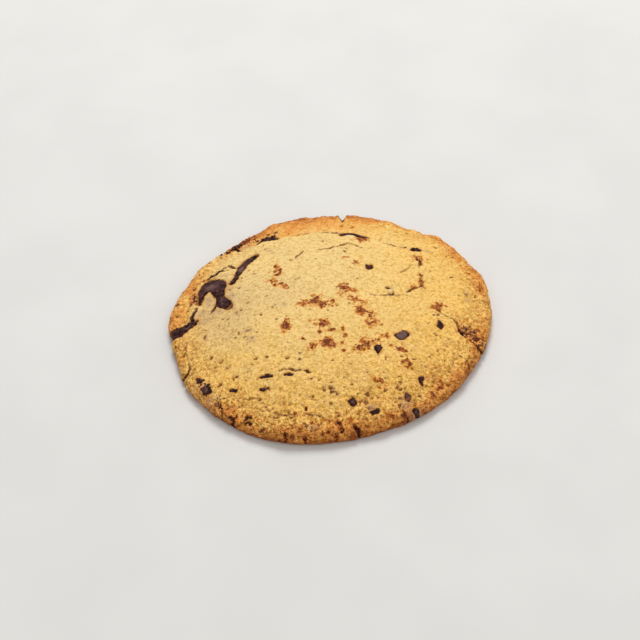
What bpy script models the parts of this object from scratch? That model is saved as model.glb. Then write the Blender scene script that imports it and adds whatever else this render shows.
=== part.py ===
"""Chocolate chunk cookie, in metres with +Z up. The origin is on the base, under the middle.

The dough is one baked solid: a low dome on a flat base with a rounded rim. Its crust has a fold
where the centre rose above the rim, cracks that open towards the edge, a crumbly hollow beside one
of them, and small chocolate chips fused into it. The longer pieces of chocolate lie in pockets of
the dough, each as an object of its own.
"""

import math

import bmesh
import bpy
from mathutils import Vector
from mathutils.geometry import convex_hull_2d

MM = 0.001

# Plan of the rim: a circle swollen by long lobes, each (waves round the rim, swell, a crest in degrees),
# and by short bumps and dents, each (turn in degrees, half width in degrees, swell).
MEAN_RADIUS = 52.6 * MM
LOBES = ((2, 1.8 * MM, 21), (3, 0.45 * MM, 9), (4, 0.25 * MM, 87), (5, 0.5 * MM, 22))
BUMPS = (
    (26, 6, -0.6 * MM),
    (41, 6, 1.2 * MM),
    (54, 5, -0.8 * MM),
    (112, 3, 1.0 * MM),
    (177, 6, 0.6 * MM),
    (192, 6, -0.5 * MM),
    (208, 6, 0.6 * MM),
)

# Section: the dome falls from the crown to the shoulder, and the rim rounds down to the flat base.
CROWN_HEIGHT = 12.8 * MM
SHOULDER_HEIGHT = 5.4 * MM
DOME_POWER = 2.4
BULGE_HEIGHT = 2.2 * MM
RIM_ROUND_OUT = 3.2 * MM
RIM_ROUND_UP = 3.4 * MM
RIM_ROUND_START = math.radians(18.7)
BASE_INSET = 1.5 * MM

# The fold where the centre rose above the rim: it runs from the right, round the back and to the left,
# and the crust drops over it towards the rim, where the drop has faded. Its turns are in degrees.
FOLD_DROP = 0.9 * MM
FOLD_WIDTH = 1.6 * MM
FOLD_FADE = 0.8
FOLD_RADIUS_BACK = 36.8 * MM
FOLD_RADIUS_LEFT = 47.0 * MM
FOLD_START, FOLD_TURNS_OUT, FOLD_IS_OUT, FOLD_END = 35, 98, 150, 195

# Broad swells of the crust, each (wavelength, direction in degrees, phase in degrees, height).
SWELLS = (
    (33 * MM, 20, 40, 0.22 * MM),
    (24 * MM, 95, 200, 0.18 * MM),
    (18 * MM, 150, 90, 0.14 * MM),
    (13 * MM, 60, 300, 0.10 * MM),
    (9 * MM, 120, 20, 0.08 * MM),
)
# Hollows of the crust, each (x, y, half length, half width, turn in degrees, depth).
HOLLOWS = (
    (46.8 * MM, -13.2 * MM, 6.0 * MM, 3.2 * MM, -35, 1.3 * MM),
    (-39.5 * MM, 7.5 * MM, 5.0 * MM, 4.0 * MM, 90, 0.5 * MM),
    (-24.0 * MM, 38.8 * MM, 8.0 * MM, 2.6 * MM, 28, 0.6 * MM),
)

# Mesh of the dough.
RAYS = 112
DOME_RINGS = 21
RIM_STEPS = 4

# Cracks of the crust, each a run of (x, y, width, depth).
CRACKS = {
    "back_fold": (
        (-9.0 * MM, 37.4 * MM, 0.5 * MM, 0.3 * MM),
        (-1.5 * MM, 36.6 * MM, 0.9 * MM, 0.6 * MM),
        (4.2 * MM, 35.9 * MM, 0.9 * MM, 0.6 * MM),
    ),
    "back_right_fold": (
        (16.6 * MM, 33.0 * MM, 0.7 * MM, 0.5 * MM),
        (20.6 * MM, 29.9 * MM, 1.0 * MM, 0.9 * MM),
        (24.0 * MM, 28.2 * MM, 1.3 * MM, 1.2 * MM),
        (28.4 * MM, 25.4 * MM, 0.5 * MM, 0.4 * MM),
    ),
    "right_ring": (
        (29.8 * MM, 22.2 * MM, 0.5 * MM, 0.4 * MM),
        (31.6 * MM, 19.0 * MM, 1.1 * MM, 0.8 * MM),
        (30.8 * MM, 15.6 * MM, 0.8 * MM, 0.6 * MM),
        (31.5 * MM, 10.5 * MM, 0.8 * MM, 0.6 * MM),
        (31.0 * MM, 7.4 * MM, 0.9 * MM, 0.6 * MM),
        (27.6 * MM, 4.4 * MM, 0.9 * MM, 0.6 * MM),
        (23.4 * MM, 1.2 * MM, 0.4 * MM, 0.3 * MM),
    ),
    "left_fold": (
        (-35.4 * MM, 22.4 * MM, 0.5 * MM, 0.4 * MM),
        (-38.4 * MM, 20.2 * MM, 1.1 * MM, 0.8 * MM),
        (-40.6 * MM, 18.4 * MM, 0.6 * MM, 0.5 * MM),
    ),
    "left_ring": (
        (-44.7 * MM, 6.0 * MM, 0.6 * MM, 0.5 * MM),
        (-45.6 * MM, 3.4 * MM, 1.2 * MM, 1.0 * MM),
        (-46.6 * MM, 0.6 * MM, 1.0 * MM, 0.8 * MM),
    ),
    "left_groove": (
        (-47.6 * MM, -8.6 * MM, 0.6 * MM, 0.4 * MM),
        (-48.4 * MM, -11.6 * MM, 0.9 * MM, 0.6 * MM),
        (-47.6 * MM, -15.6 * MM, 1.0 * MM, 0.9 * MM),
        (-46.6 * MM, -18.9 * MM, 1.2 * MM, 1.2 * MM),
        (-47.2 * MM, -21.2 * MM, 1.6 * MM, 2.0 * MM),
        (-52.0 * MM, -23.8 * MM, 3.4 * MM, 7.0 * MM),
    ),
    "right_crack": (
        (35.9 * MM, -4.5 * MM, 0.5 * MM, 0.4 * MM),
        (37.8 * MM, -6.3 * MM, 1.0 * MM, 0.8 * MM),
        (41.4 * MM, -8.8 * MM, 1.2 * MM, 1.1 * MM),
        (43.0 * MM, -12.4 * MM, 1.5 * MM, 1.6 * MM),
        (46.4 * MM, -15.4 * MM, 1.6 * MM, 2.0 * MM),
        (48.4 * MM, -18.2 * MM, 1.8 * MM, 3.4 * MM),
        (54.4 * MM, -18.8 * MM, 4.0 * MM, 8.0 * MM),
    ),
    "back_notch": (
        (6.4 * MM, 38.6 * MM, 0.5 * MM, 0.4 * MM),
        (6.3 * MM, 43.6 * MM, 0.8 * MM, 0.8 * MM),
        (6.4 * MM, 47.4 * MM, 1.4 * MM, 3.0 * MM),
        (6.6 * MM, 54.0 * MM, 4.4 * MM, 8.0 * MM),
    ),
    "front_notch": (
        (5.2 * MM, -47.2 * MM, 0.9 * MM, 0.6 * MM),
        (6.5 * MM, -49.1 * MM, 1.8 * MM, 1.4 * MM),
        (7.0 * MM, -50.8 * MM, 1.6 * MM, 3.6 * MM),
        (6.6 * MM, -55.0 * MM, 3.8 * MM, 8.0 * MM),
    ),
    "front_right_notch": (
        (21.8 * MM, -43.2 * MM, 0.7 * MM, 0.5 * MM),
        (23.0 * MM, -45.2 * MM, 1.3 * MM, 1.4 * MM),
        (24.6 * MM, -48.6 * MM, 2.6 * MM, 7.0 * MM),
    ),
    "front_left_notch": (
        (-32.2 * MM, -41.0 * MM, 0.7 * MM, 0.5 * MM),
        (-32.9 * MM, -43.4 * MM, 1.4 * MM, 1.4 * MM),
        (-34.4 * MM, -48.0 * MM, 2.6 * MM, 7.0 * MM),
    ),
}

# Chocolate in pockets of the dough, each a run of (x, y, width) along the piece.
CHOCOLATE = {
    "chocolate_arch": (
        (-43.5 * MM, 7.2 * MM, 1.3 * MM),
        (-43.1 * MM, 10.6 * MM, 1.8 * MM),
        (-42.0 * MM, 13.2 * MM, 3.8 * MM),
        (-40.4 * MM, 14.3 * MM, 6.4 * MM),
        (-38.2 * MM, 13.6 * MM, 6.4 * MM),
        (-36.9 * MM, 10.0 * MM, 3.6 * MM),
        (-36.2 * MM, 6.8 * MM, 3.0 * MM),
        (-34.6 * MM, 3.9 * MM, 3.8 * MM),
    ),
    "chocolate_sliver": (
        (-24.0 * MM, 27.9 * MM, 0.8 * MM),
        (-25.4 * MM, 26.7 * MM, 1.9 * MM),
        (-27.2 * MM, 24.6 * MM, 2.6 * MM),
        (-28.6 * MM, 22.0 * MM, 2.6 * MM),
        (-29.9 * MM, 19.4 * MM, 2.3 * MM),
        (-30.8 * MM, 16.8 * MM, 1.6 * MM),
        (-32.6 * MM, 13.7 * MM, 1.2 * MM),
    ),
    "chocolate_left_rim": (
        (-44.3 * MM, -1.0 * MM, 0.9 * MM),
        (-46.0 * MM, -1.7 * MM, 1.6 * MM),
        (-48.2 * MM, -2.3 * MM, 2.8 * MM),
        (-50.8 * MM, -3.4 * MM, 4.2 * MM),
        (-57.0 * MM, -4.6 * MM, 5.0 * MM),
    ),
    "chocolate_back_left": (
        (-16.6 * MM, 36.0 * MM, 1.0 * MM),
        (-18.6 * MM, 37.2 * MM, 2.4 * MM),
        (-20.6 * MM, 37.9 * MM, 3.0 * MM),
        (-22.4 * MM, 37.1 * MM, 1.7 * MM),
        (-24.0 * MM, 35.5 * MM, 1.0 * MM),
    ),
    "chocolate_back": (
        (5.6 * MM, 35.2 * MM, 1.0 * MM),
        (8.0 * MM, 36.2 * MM, 1.2 * MM),
        (10.6 * MM, 35.7 * MM, 1.8 * MM),
        (13.0 * MM, 34.5 * MM, 2.2 * MM),
        (15.2 * MM, 33.7 * MM, 1.1 * MM),
    ),
}
CHOCOLATE_DEPTH = 2.8 * MM
CHOCOLATE_RISE = 0.35 * MM
POCKET_GAP = 0.3 * MM
ROUND_SIDES = 12

# Small chips fused into the crust, each (x, y, half length, half width, turn in degrees).
CHIPS = (
    (14.4 * MM, 15.9 * MM, 1.2 * MM, 1.1 * MM, 10),
    (23.1 * MM, -15.5 * MM, 2.3 * MM, 1.8 * MM, 15),
    (15.0 * MM, -21.1 * MM, 1.4 * MM, 1.2 * MM, 70),
    (36.2 * MM, -10.8 * MM, 1.5 * MM, 1.1 * MM, 80),
    (5.6 * MM, -40.3 * MM, 1.5 * MM, 1.3 * MM, 60),
    (28.3 * MM, -32.1 * MM, 1.2 * MM, 0.8 * MM, 60),
    (23.0 * MM, -39.4 * MM, 1.6 * MM, 1.1 * MM, 70),
    (12.2 * MM, -43.8 * MM, 1.6 * MM, 0.9 * MM, 20),
    (30.9 * MM, 26.1 * MM, 2.0 * MM, 1.1 * MM, -5),
    (-21.6 * MM, -29.5 * MM, 1.9 * MM, 0.8 * MM, 8),
    (-22.3 * MM, -34.0 * MM, 1.5 * MM, 0.7 * MM, 0),
    (-14.3 * MM, -29.8 * MM, 1.5 * MM, 0.6 * MM, 0),
    (-42.0 * MM, -28.9 * MM, 2.9 * MM, 1.8 * MM, -52),
    (-16.8 * MM, 16.8 * MM, 2.4 * MM, 1.2 * MM, 80),
    (-14.5 * MM, -9.5 * MM, 1.9 * MM, 1.2 * MM, 80),
    (-1.2 * MM, -18.1 * MM, 1.9 * MM, 1.2 * MM, -45),
    (20.8 * MM, 3.8 * MM, 1.5 * MM, 0.9 * MM, 80),
    (26.0 * MM, -42.8 * MM, 1.6 * MM, 1.0 * MM, 35),
)
CHIP_RISE = 0.45 * MM

DOUGH_COLOUR = (0.76, 0.47, 0.17, 1.0)
CHOCOLATE_COLOUR = (0.065, 0.032, 0.028, 1.0)


def clear_scene():
    """Removes every object that the file opened with."""
    for old in list(bpy.data.objects):
        bpy.data.objects.remove(old)


def baked_material(name, colour, roughness):
    """A plain Principled material for one kind of piece."""
    material = bpy.data.materials.new(name)
    material.use_nodes = True
    shader = material.node_tree.nodes["Principled BSDF"]
    shader.inputs["Base Color"].default_value = colour
    shader.inputs["Roughness"].default_value = roughness
    shader.inputs["Metallic"].default_value = 0.0
    return material


def rim_radius(angle):
    """Plan radius of the rim at its widest, in one direction from the middle."""
    radius = MEAN_RADIUS
    for waves, size, crest in LOBES:
        radius += size * math.cos(waves * (angle - math.radians(crest)))
    for turn, half_width, size in BUMPS:
        away = (math.degrees(angle) - turn + 180) % 360 - 180
        radius += size * math.exp(-((away / half_width) ** 2))
    return radius


def plan_middle():
    """Middle of the rim's own box, so that the finished cookie can be centred on the origin."""
    turns = [math.tau * step / 3600 for step in range(3600)]
    across = [rim_radius(turn) * math.cos(turn) for turn in turns]
    along = [rim_radius(turn) * math.sin(turn) for turn in turns]
    return Vector(((max(across) + min(across)) / 2, (max(along) + min(along)) / 2, 0))


def shoulder_radius(angle):
    """Plan radius where the dome ends and the rounding of the rim begins."""
    return rim_radius(angle) - RIM_ROUND_OUT * (1 - math.sin(RIM_ROUND_START))


def ease(share):
    """Smooth step from 0 to 1 as the share goes from 0 to 1."""
    share = min(1.0, max(0.0, share))
    return share * share * (3 - 2 * share)


def fold_drop(x, y):
    """How far the crust has dropped at a point, over the fold behind and left of the centre."""
    turn = math.degrees(math.atan2(y, x)) % 360
    outward = ease((turn - FOLD_TURNS_OUT) / (FOLD_IS_OUT - FOLD_TURNS_OUT))
    radius = FOLD_RADIUS_BACK + (FOLD_RADIUS_LEFT - FOLD_RADIUS_BACK) * outward
    strength = ease((turn - FOLD_START) / 20) * ease((FOLD_END - turn) / 20)
    beyond = math.hypot(x, y) - radius
    strength *= 1 - FOLD_FADE * ease(beyond / (MEAN_RADIUS - radius))
    return FOLD_DROP * strength * ease(beyond / FOLD_WIDTH)


def relief(x, y):
    """Rise of the crust over the plain dome: long swells, less the fold and the hollows."""
    rise = -fold_drop(x, y)
    for length, direction, phase, height in SWELLS:
        run = x * math.cos(math.radians(direction)) + y * math.sin(math.radians(direction))
        rise += height * math.sin(math.tau * run / length + math.radians(phase))
    for centre_x, centre_y, half_long, half_wide, turn, depth in HOLLOWS:
        cosine, sine = math.cos(math.radians(turn)), math.sin(math.radians(turn))
        long = ((x - centre_x) * cosine + (y - centre_y) * sine) / half_long
        wide = ((y - centre_y) * cosine - (x - centre_x) * sine) / half_wide
        rise -= depth * math.exp(-(long * long + wide * wide))
    return rise


def crust_height(x, y):
    """Height of the crust over the floor, out to the shoulder of the rim."""
    angle = math.atan2(y, x)
    share = min(1.0, math.hypot(x, y) / shoulder_radius(angle))
    dome = SHOULDER_HEIGHT + (CROWN_HEIGHT - SHOULDER_HEIGHT) * (1 - share**DOME_POWER)
    return dome + relief(x, y)


def ray_points(angle):
    """Points of the dough along one ray, from beside the crown, over the rim and down to the base."""
    across, along = math.cos(angle), math.sin(angle)
    shoulder = shoulder_radius(angle)
    points = []
    for ring in range(1, DOME_RINGS + 1):
        out = shoulder * ring / DOME_RINGS
        points.append((out * across, out * along, crust_height(out * across, out * along)))
    lift = relief(shoulder * across, shoulder * along)
    bulge = rim_radius(angle)
    for step in range(1, RIM_STEPS + 1):
        turn = RIM_ROUND_START + (math.pi / 2 - RIM_ROUND_START) * step / RIM_STEPS
        out = bulge - RIM_ROUND_OUT * (1 - math.sin(turn))
        up = BULGE_HEIGHT + (RIM_ROUND_UP + lift) * math.cos(turn)
        points.append((out * across, out * along, up))
    for step in range(1, RIM_STEPS):
        turn = math.pi / 2 * step / (RIM_STEPS - 1)
        out = bulge - BASE_INSET * (1 - math.cos(turn))
        points.append((out * across, out * along, BULGE_HEIGHT * (1 - math.sin(turn))))
    return points


def dough_blank(name):
    """The closed dome before it is cracked: rays of points, bridged face by face, on one flat base."""
    mesh = bmesh.new()
    crown = mesh.verts.new((0, 0, crust_height(0, 0)))
    rays = []
    for step in range(RAYS):
        points = ray_points(math.tau * step / RAYS)
        rays.append([mesh.verts.new(point) for point in points])
    for ray, after in zip(rays, rays[1:] + rays[:1]):
        mesh.faces.new((crown, ray[0], after[0]))
        for inner, outer in zip(range(len(ray) - 1), range(1, len(ray))):
            mesh.faces.new((ray[inner], ray[outer], after[outer], after[inner]))
    mesh.faces.new([ray[-1] for ray in reversed(rays)])
    return finished(name, mesh)


def finished(name, mesh):
    """Writes a bmesh to a new object of the scene and shades it smooth."""
    data = bpy.data.meshes.new(name)
    bmesh.ops.recalc_face_normals(mesh, faces=mesh.faces)
    mesh.to_mesh(data)
    mesh.free()
    data.shade_smooth()
    made = bpy.data.objects.new(name, data)
    bpy.context.scene.collection.objects.link(made)
    return made


def travel(run, index):
    """Unit direction of a run of points in plan, at one of them."""
    before, after = run[max(index - 1, 0)], run[min(index + 1, len(run) - 1)]
    return Vector((after[0] - before[0], after[1] - before[1], 0)).normalized()


def crack_cutter(name, run):
    """A V-shaped wedge along a crack: wide over the crust, and down to an edge at the crack's depth."""
    mesh = bmesh.new()
    sections = []
    clear_above = 2.0 * MM
    for index, (x, y, width, depth) in enumerate(run):
        side = Vector((-travel(run, index).y, travel(run, index).x, 0))
        surface = crust_height(x, y)
        spread = width / 2 * (1 + clear_above / depth)
        middle = Vector((x, y, surface + clear_above))
        corners = (middle - side * spread, Vector((x, y, surface - depth)), middle + side * spread)
        sections.append([mesh.verts.new(corner) for corner in corners])
    for near, far in zip(sections, sections[1:]):
        for corner in range(3):
            following = (corner + 1) % 3
            mesh.faces.new((near[corner], near[following], far[following], far[corner]))
    mesh.faces.new(sections[0])
    mesh.faces.new(list(reversed(sections[-1])))
    return finished(name, mesh)


def eased_run(run):
    """The run with one more point in each gap, on a smooth curve through the points beside it."""
    points = [Vector(point) for point in run]
    eased = []
    for index, (here, after) in enumerate(zip(points, points[1:])):
        before, beyond = points[max(index - 1, 0)], points[min(index + 2, len(points) - 1)]
        eased += [here, (here + after) * 9 / 16 - (before + beyond) / 16]
    return [*eased, points[-1]]


def upright_piece(name, points, grown):
    """Round-ended prisms along a run of (x, y, width), each over two points, joined from below the crust up."""
    run = eased_run(points)
    floor = min(crust_height(x, y) for x, y, _ in run if math.hypot(x, y) < MEAN_RADIUS)
    floor -= CHOCOLATE_DEPTH + grown
    turns = [math.tau * step / ROUND_SIDES for step in range(ROUND_SIDES)]
    prisms = []
    for index, ends in enumerate(zip(run, run[1:])):
        circles = [
            (x + (width / 2 + grown) * math.cos(turn), y + (width / 2 + grown) * math.sin(turn))
            for x, y, width in ends
            for turn in turns
        ]
        mesh = bmesh.new()
        flat = mesh.faces.new([mesh.verts.new((*circles[at], floor)) for at in convex_hull_2d(circles)])
        raised = bmesh.ops.extrude_face_region(mesh, geom=[flat])["geom"]
        top = [item for item in raised if isinstance(item, bmesh.types.BMVert)]
        bmesh.ops.translate(mesh, verts=top, vec=(0, 0, CROWN_HEIGHT + 4 * MM - floor))
        prisms.append(finished(f"{name}_{index}", mesh))
    piece, *others = prisms
    combine(piece, others, "UNION")
    piece.name = name
    return piece


def chip(name, x, y, half_long, half_wide, turn):
    """A small rounded chip, lying in the crust with only its top above it."""
    mesh = bmesh.new()
    bmesh.ops.create_icosphere(mesh, subdivisions=2, radius=1.0)
    half_tall = 2 * CHIP_RISE
    bmesh.ops.scale(mesh, vec=(half_long, half_wide, half_tall), verts=mesh.verts)
    made = finished(name, mesh)
    made.location = (x, y, crust_height(x, y) + CHIP_RISE - half_tall)
    made.rotation_euler = (0, 0, math.radians(turn))
    return made


def combine(target, tools, operation):
    """Applies one Boolean of a collection of tools to the target, and removes the tools."""
    group = bpy.data.collections.new(operation.lower())
    bpy.context.scene.collection.children.link(group)
    for tool in tools:
        group.objects.link(tool)
    boolean = target.modifiers.new(operation.lower(), "BOOLEAN")
    boolean.operation = operation
    boolean.solver = "EXACT"
    boolean.operand_type = "COLLECTION"
    boolean.collection = group
    bpy.context.view_layer.update()
    graph = bpy.context.evaluated_depsgraph_get()
    result = bpy.data.meshes.new_from_object(target.evaluated_get(graph))
    target.modifiers.clear()
    target.data = result
    for tool in tools:
        bpy.data.objects.remove(tool)
    bpy.data.collections.remove(group)


def chocolate_piece(name, run, material):
    """One piece of chocolate: its upright prism, kept only within the dough's form, a little raised."""
    piece = upright_piece(name, run, 0.0)
    form = dough_blank(f"{name}_form")
    form.location.z = CHOCOLATE_RISE
    combine(piece, [form], "INTERSECT")
    piece.data.materials.clear()
    piece.data.materials.append(material)
    return piece


def baked_dough(material):
    """The dough: chips joined on, then cracks and the pockets of the chocolate cut out."""
    dough = dough_blank("dough")
    combine(dough, [chip(f"chip_{index}", *place) for index, place in enumerate(CHIPS)], "UNION")
    combine(dough, [crack_cutter(name, run) for name, run in CRACKS.items()], "DIFFERENCE")
    pockets = [upright_piece(f"{name}_pocket", run, POCKET_GAP) for name, run in CHOCOLATE.items()]
    combine(dough, pockets, "DIFFERENCE")
    dough.data.materials.clear()
    dough.data.materials.append(material)
    return dough


def build():
    """Makes every piece, then centres them all over the origin."""
    clear_scene()
    dough_material = baked_material("baked_dough", DOUGH_COLOUR, 0.8)
    chocolate_material = baked_material("dark_chocolate", CHOCOLATE_COLOUR, 0.45)
    pieces = [baked_dough(dough_material)]
    pieces += [chocolate_piece(name, run, chocolate_material) for name, run in CHOCOLATE.items()]
    middle = plan_middle()
    for piece in pieces:
        piece.location -= middle
        piece.data.set_sharp_from_angle(angle=math.radians(40))


build()
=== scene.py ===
# %% [markdown]
# A cookie with chocolate chunks, dressed over its solid model.
# The solid model holds the size of the cookie and where its chocolate lies. This script keeps that
# frame and gives each piece the surface that an oven gives it: a sandy crust that cracks as it sets,
# a browned rim, caramel where sugar ran, and chocolate that melted and set again.
# Lengths are in millimetres here, because a cookie is easiest to think of in millimetres. They
# become metres when a mesh is written, and every piece is then moved so that the middle of the
# cookie's plan is over the origin, as it is in the solid model.

import math

import bpy
import numpy as np
from mathutils import Matrix, Vector


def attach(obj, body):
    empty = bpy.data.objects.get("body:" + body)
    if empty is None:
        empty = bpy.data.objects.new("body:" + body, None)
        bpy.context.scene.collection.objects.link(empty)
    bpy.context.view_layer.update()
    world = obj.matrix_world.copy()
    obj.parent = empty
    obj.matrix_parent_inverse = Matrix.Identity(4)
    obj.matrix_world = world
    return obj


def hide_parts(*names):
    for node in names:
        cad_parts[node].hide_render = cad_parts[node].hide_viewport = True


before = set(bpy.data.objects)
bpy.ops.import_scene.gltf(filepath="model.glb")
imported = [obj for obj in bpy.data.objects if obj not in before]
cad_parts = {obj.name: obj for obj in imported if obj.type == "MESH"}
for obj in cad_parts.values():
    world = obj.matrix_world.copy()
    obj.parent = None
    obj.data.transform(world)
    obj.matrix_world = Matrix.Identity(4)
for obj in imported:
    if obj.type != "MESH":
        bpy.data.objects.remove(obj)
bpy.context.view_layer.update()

# %% [markdown]
# The form of the cookie comes first: a round plan swollen by a few long lobes, a dome that falls
# from the crown to a shoulder, and a rim that rounds down from the shoulder to the flat base.
# It could be sculpted by hand, but a formula can be read, and it gives the same height to the
# crust and to whatever lies in it.

# %% Sizes of the plan and of the section
MM = 0.001
MEAN_RADIUS = 52.6
# Each lobe: how many waves go round the plan, their size, and where the first crest is, in degrees.
LOBES = ((2, 1.8, 21), (3, 0.45, 9), (4, 0.25, 87), (5, 0.5, 22))
# Each bump or dent of the rim: its direction and its half width in degrees, and its size.
BUMPS = (
    (26, 6, -0.6), (41, 6, 1.2), (54, 5, -0.8), (112, 3, 1.0), (177, 6, 0.6), (192, 6, -0.5),
    (208, 6, 0.6),
)
CROWN_HEIGHT = 12.8
SHOULDER_HEIGHT = 5.4
DOME_POWER = 2.4
BULGE_HEIGHT = 2.2
RIM_ROUND_OUT = 3.2
RIM_ROUND_UP = 3.4
RIM_ROUND_START = math.radians(18.7)
BASE_INSET = 1.5


def bell(value, middle, width):
    """Bell curve: e to the power of minus (distance from the middle / width)^2."""
    return np.exp(-(((value - middle) / width) ** 2))


def rim_radius(angle):
    """Mean radius, plus a cosine wave for each lobe and a bell curve for each bump or dent."""
    radius = MEAN_RADIUS + 0 * angle
    for waves, size, crest in LOBES:
        radius = radius + size * np.cos(waves * (angle - math.radians(crest)))
    for turn, half_width, size in BUMPS:
        away = (np.degrees(angle) - turn + 180) % 360 - 180
        radius = radius + size * bell(away, 0, half_width)
    return radius


def shoulder_radius(angle):
    """Radius where the dome ends and the rounding of the rim starts."""
    return rim_radius(angle) - RIM_ROUND_OUT * (1 - math.sin(RIM_ROUND_START))


turns = np.linspace(0, math.tau, 3600, endpoint=False)
across, along = rim_radius(turns) * np.cos(turns), rim_radius(turns) * np.sin(turns)
PLAN_MIDDLE = np.array([(across.max() + across.min()) / 2, (along.max() + along.min()) / 2, 0])
print("plan", round(np.ptp(across), 1), "by", round(np.ptp(along), 1), "mm")
print("its middle is at", PLAN_MIDDLE.round(2))

# %% [markdown]
# On the real cookie the centre rose above the rim at the back and at the left, and left a fold.
# Broad swells run over the whole crust, and a few hollows lie where the dough sank. These are sums
# of plain functions: a step that eases from 0 to 1, sine waves, and bell curves.

# %% Height of the crust over the floor
FOLD_DROP, FOLD_WIDTH, FOLD_FADE = 0.9, 1.3, 0.8
FOLD_RADIUS_BACK, FOLD_RADIUS_LEFT = 36.8, 47.0
FOLD_START, FOLD_TURNS_OUT, FOLD_IS_OUT, FOLD_END, FOLD_EASE = 35, 98, 150, 195, 20
# Each waver of the fold: waves round the plan, size, and where the first crest is, in degrees.
FOLD_WAVERS = ((9, 0.35, 40), (17, 0.25, 10), (31, 0.18, 5))
# Each swell: its length, its direction and its phase in degrees, and its height.
SWELLS = (
    (33, 20, 40, 0.22), (24, 95, 200, 0.18), (18, 150, 90, 0.14), (13, 60, 300, 0.10),
    (9, 120, 20, 0.08),
)
# Each hollow: its place, half length, half width and turn in degrees, and its depth.
HOLLOWS = (
    (46.8, -13.2, 6.0, 3.2, -35, 1.3),
    (-39.5, 7.5, 5.0, 4.0, 90, 0.5),
    (-24.0, 38.8, 8.0, 2.6, 28, 0.6),
)


def ease(share):
    """Smooth step: 0 below 0, 1 above 1, and 3 s^2 - 2 s^3 between."""
    share = np.clip(share, 0, 1)
    return share * share * (3 - 2 * share)


def turned(x, y, centre_x, centre_y, half_long, half_wide, turn):
    """Place of points within a turned ellipse, in shares of its half length and half width."""
    cosine, sine = math.cos(math.radians(turn)), math.sin(math.radians(turn))
    long = ((x - centre_x) * cosine + (y - centre_y) * sine) / half_long
    wide = ((y - centre_y) * cosine - (x - centre_x) * sine) / half_wide
    return long, wide


def fold_place(x, y):
    """How far points lie beyond the fold, and how strong the fold is in their direction."""
    turn = np.degrees(np.arctan2(y, x)) % 360
    outward = ease((turn - FOLD_TURNS_OUT) / (FOLD_IS_OUT - FOLD_TURNS_OUT))
    radius = FOLD_RADIUS_BACK + (FOLD_RADIUS_LEFT - FOLD_RADIUS_BACK) * outward
    strength = ease((turn - FOLD_START) / FOLD_EASE) * ease((FOLD_END - turn) / FOLD_EASE)
    waver = 0
    for waves, size, crest in FOLD_WAVERS:
        waver = waver + size * np.cos(np.radians(waves * (turn - crest)))
    return np.hypot(x, y) - radius - waver, radius, strength


def broad_relief(x, y):
    """Sum of the swells, less the step over the fold and the bell of each hollow."""
    beyond, radius, strength = fold_place(x, y)
    fade = 1 - FOLD_FADE * ease(beyond / (MEAN_RADIUS - radius))
    rise = -FOLD_DROP * strength * fade * ease(beyond / FOLD_WIDTH)
    for length, direction, phase, height in SWELLS:
        run = x * math.cos(math.radians(direction)) + y * math.sin(math.radians(direction))
        rise = rise + height * np.sin(math.tau * run / length + math.radians(phase))
    for *place, depth in HOLLOWS:
        long, wide = turned(x, y, *place)
        rise = rise - depth * np.exp(-(long**2 + wide**2))
    return rise


def crust_height(x, y):
    """Shoulder height, plus the dome's 1 - t^2.4 of what the crown adds, plus the broad relief."""
    share = np.minimum(1, np.hypot(x, y) / shoulder_radius(np.arctan2(y, x)))
    dome = SHOULDER_HEIGHT + (CROWN_HEIGHT - SHOULDER_HEIGHT) * (1 - share**DOME_POWER)
    return dome + broad_relief(x, y)


def top_height(x, y):
    """Crust height, and beyond the shoulder that of the rounded rim: up times root of 1 - (1 - s)^2."""
    angle, radius = np.arctan2(y, x), np.hypot(x, y)
    short = np.clip((rim_radius(angle) - radius) / RIM_ROUND_OUT, 0, 1)
    rounded = BULGE_HEIGHT + (RIM_ROUND_UP + broad_relief(x, y)) * np.sqrt(1 - (1 - short) ** 2)
    return np.where(radius > shoulder_radius(angle), rounded, crust_height(x, y))


print("crown", round(float(crust_height(np.zeros(1), np.zeros(1))[0]), 2), "mm over the floor")

# %% [markdown]
# A baked crust is never smooth. Its small unevenness has no pattern, so it is noise: random values
# on a lattice, with a smooth step between neighbours. One lattice is kept for each seed, which
# gives the same cookie on each run. Layers at smaller sizes add the finer grain.

# %% Noise in three dimensions
LATTICE_SIDE = 64


def noise(points, size, seed):
    """Random values from -1 to 1 at the corners of cubes of this size, eased between the corners."""
    lattice = np.random.default_rng(seed).uniform(-1, 1, (LATTICE_SIDE,) * 3)
    cell = np.floor(points / size)
    part = ease(points / size - cell)
    low = cell.astype(int) % LATTICE_SIDE
    high = (low + 1) % LATTICE_SIDE
    total = np.zeros(len(points))
    for corner in np.ndindex(2, 2, 2):
        at = [np.where(pick, high[:, axis], low[:, axis]) for axis, pick in enumerate(corner)]
        weights = [part[:, axis] if pick else 1 - part[:, axis] for axis, pick in enumerate(corner)]
        total += np.prod(weights, axis=0) * lattice[tuple(at)]
    return total


def layered_noise(points, size, seed, layers=3):
    """Sum of noises, each at half the size and half the height of the one before."""
    return sum(noise(points, size / 2**layer, seed + layer) / 2**layer for layer in range(layers))


# %% [markdown]
# Cracks, the edges of chocolate and small holes all follow a line on the crust. One helper serves
# them all: it finds the distance from each point to a run of straight stretches, and what the
# run's own values, such as its width, are at the nearest place.

# %% Distance from points to a run
def nearest_on_run(x, y, run):
    """Distance to the nearest stretch of the run, and the run's further values, mixed at that place."""
    run = np.array(run, float)
    best = np.full(len(x), np.inf)
    values = np.zeros((run.shape[1] - 2, len(x)))
    for start, end in zip(run, run[1:]):
        step = end[:2] - start[:2]
        share = np.clip(((x - start[0]) * step[0] + (y - start[1]) * step[1]) / (step @ step), 0, 1)
        distance = np.hypot(x - start[0] - share * step[0], y - start[1] - share * step[1])
        closer = distance < best
        best = np.where(closer, distance, best)
        here = start[2:, None] + share * (end - start)[2:, None]
        values = np.where(closer, here, values)
    return best, values


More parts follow.
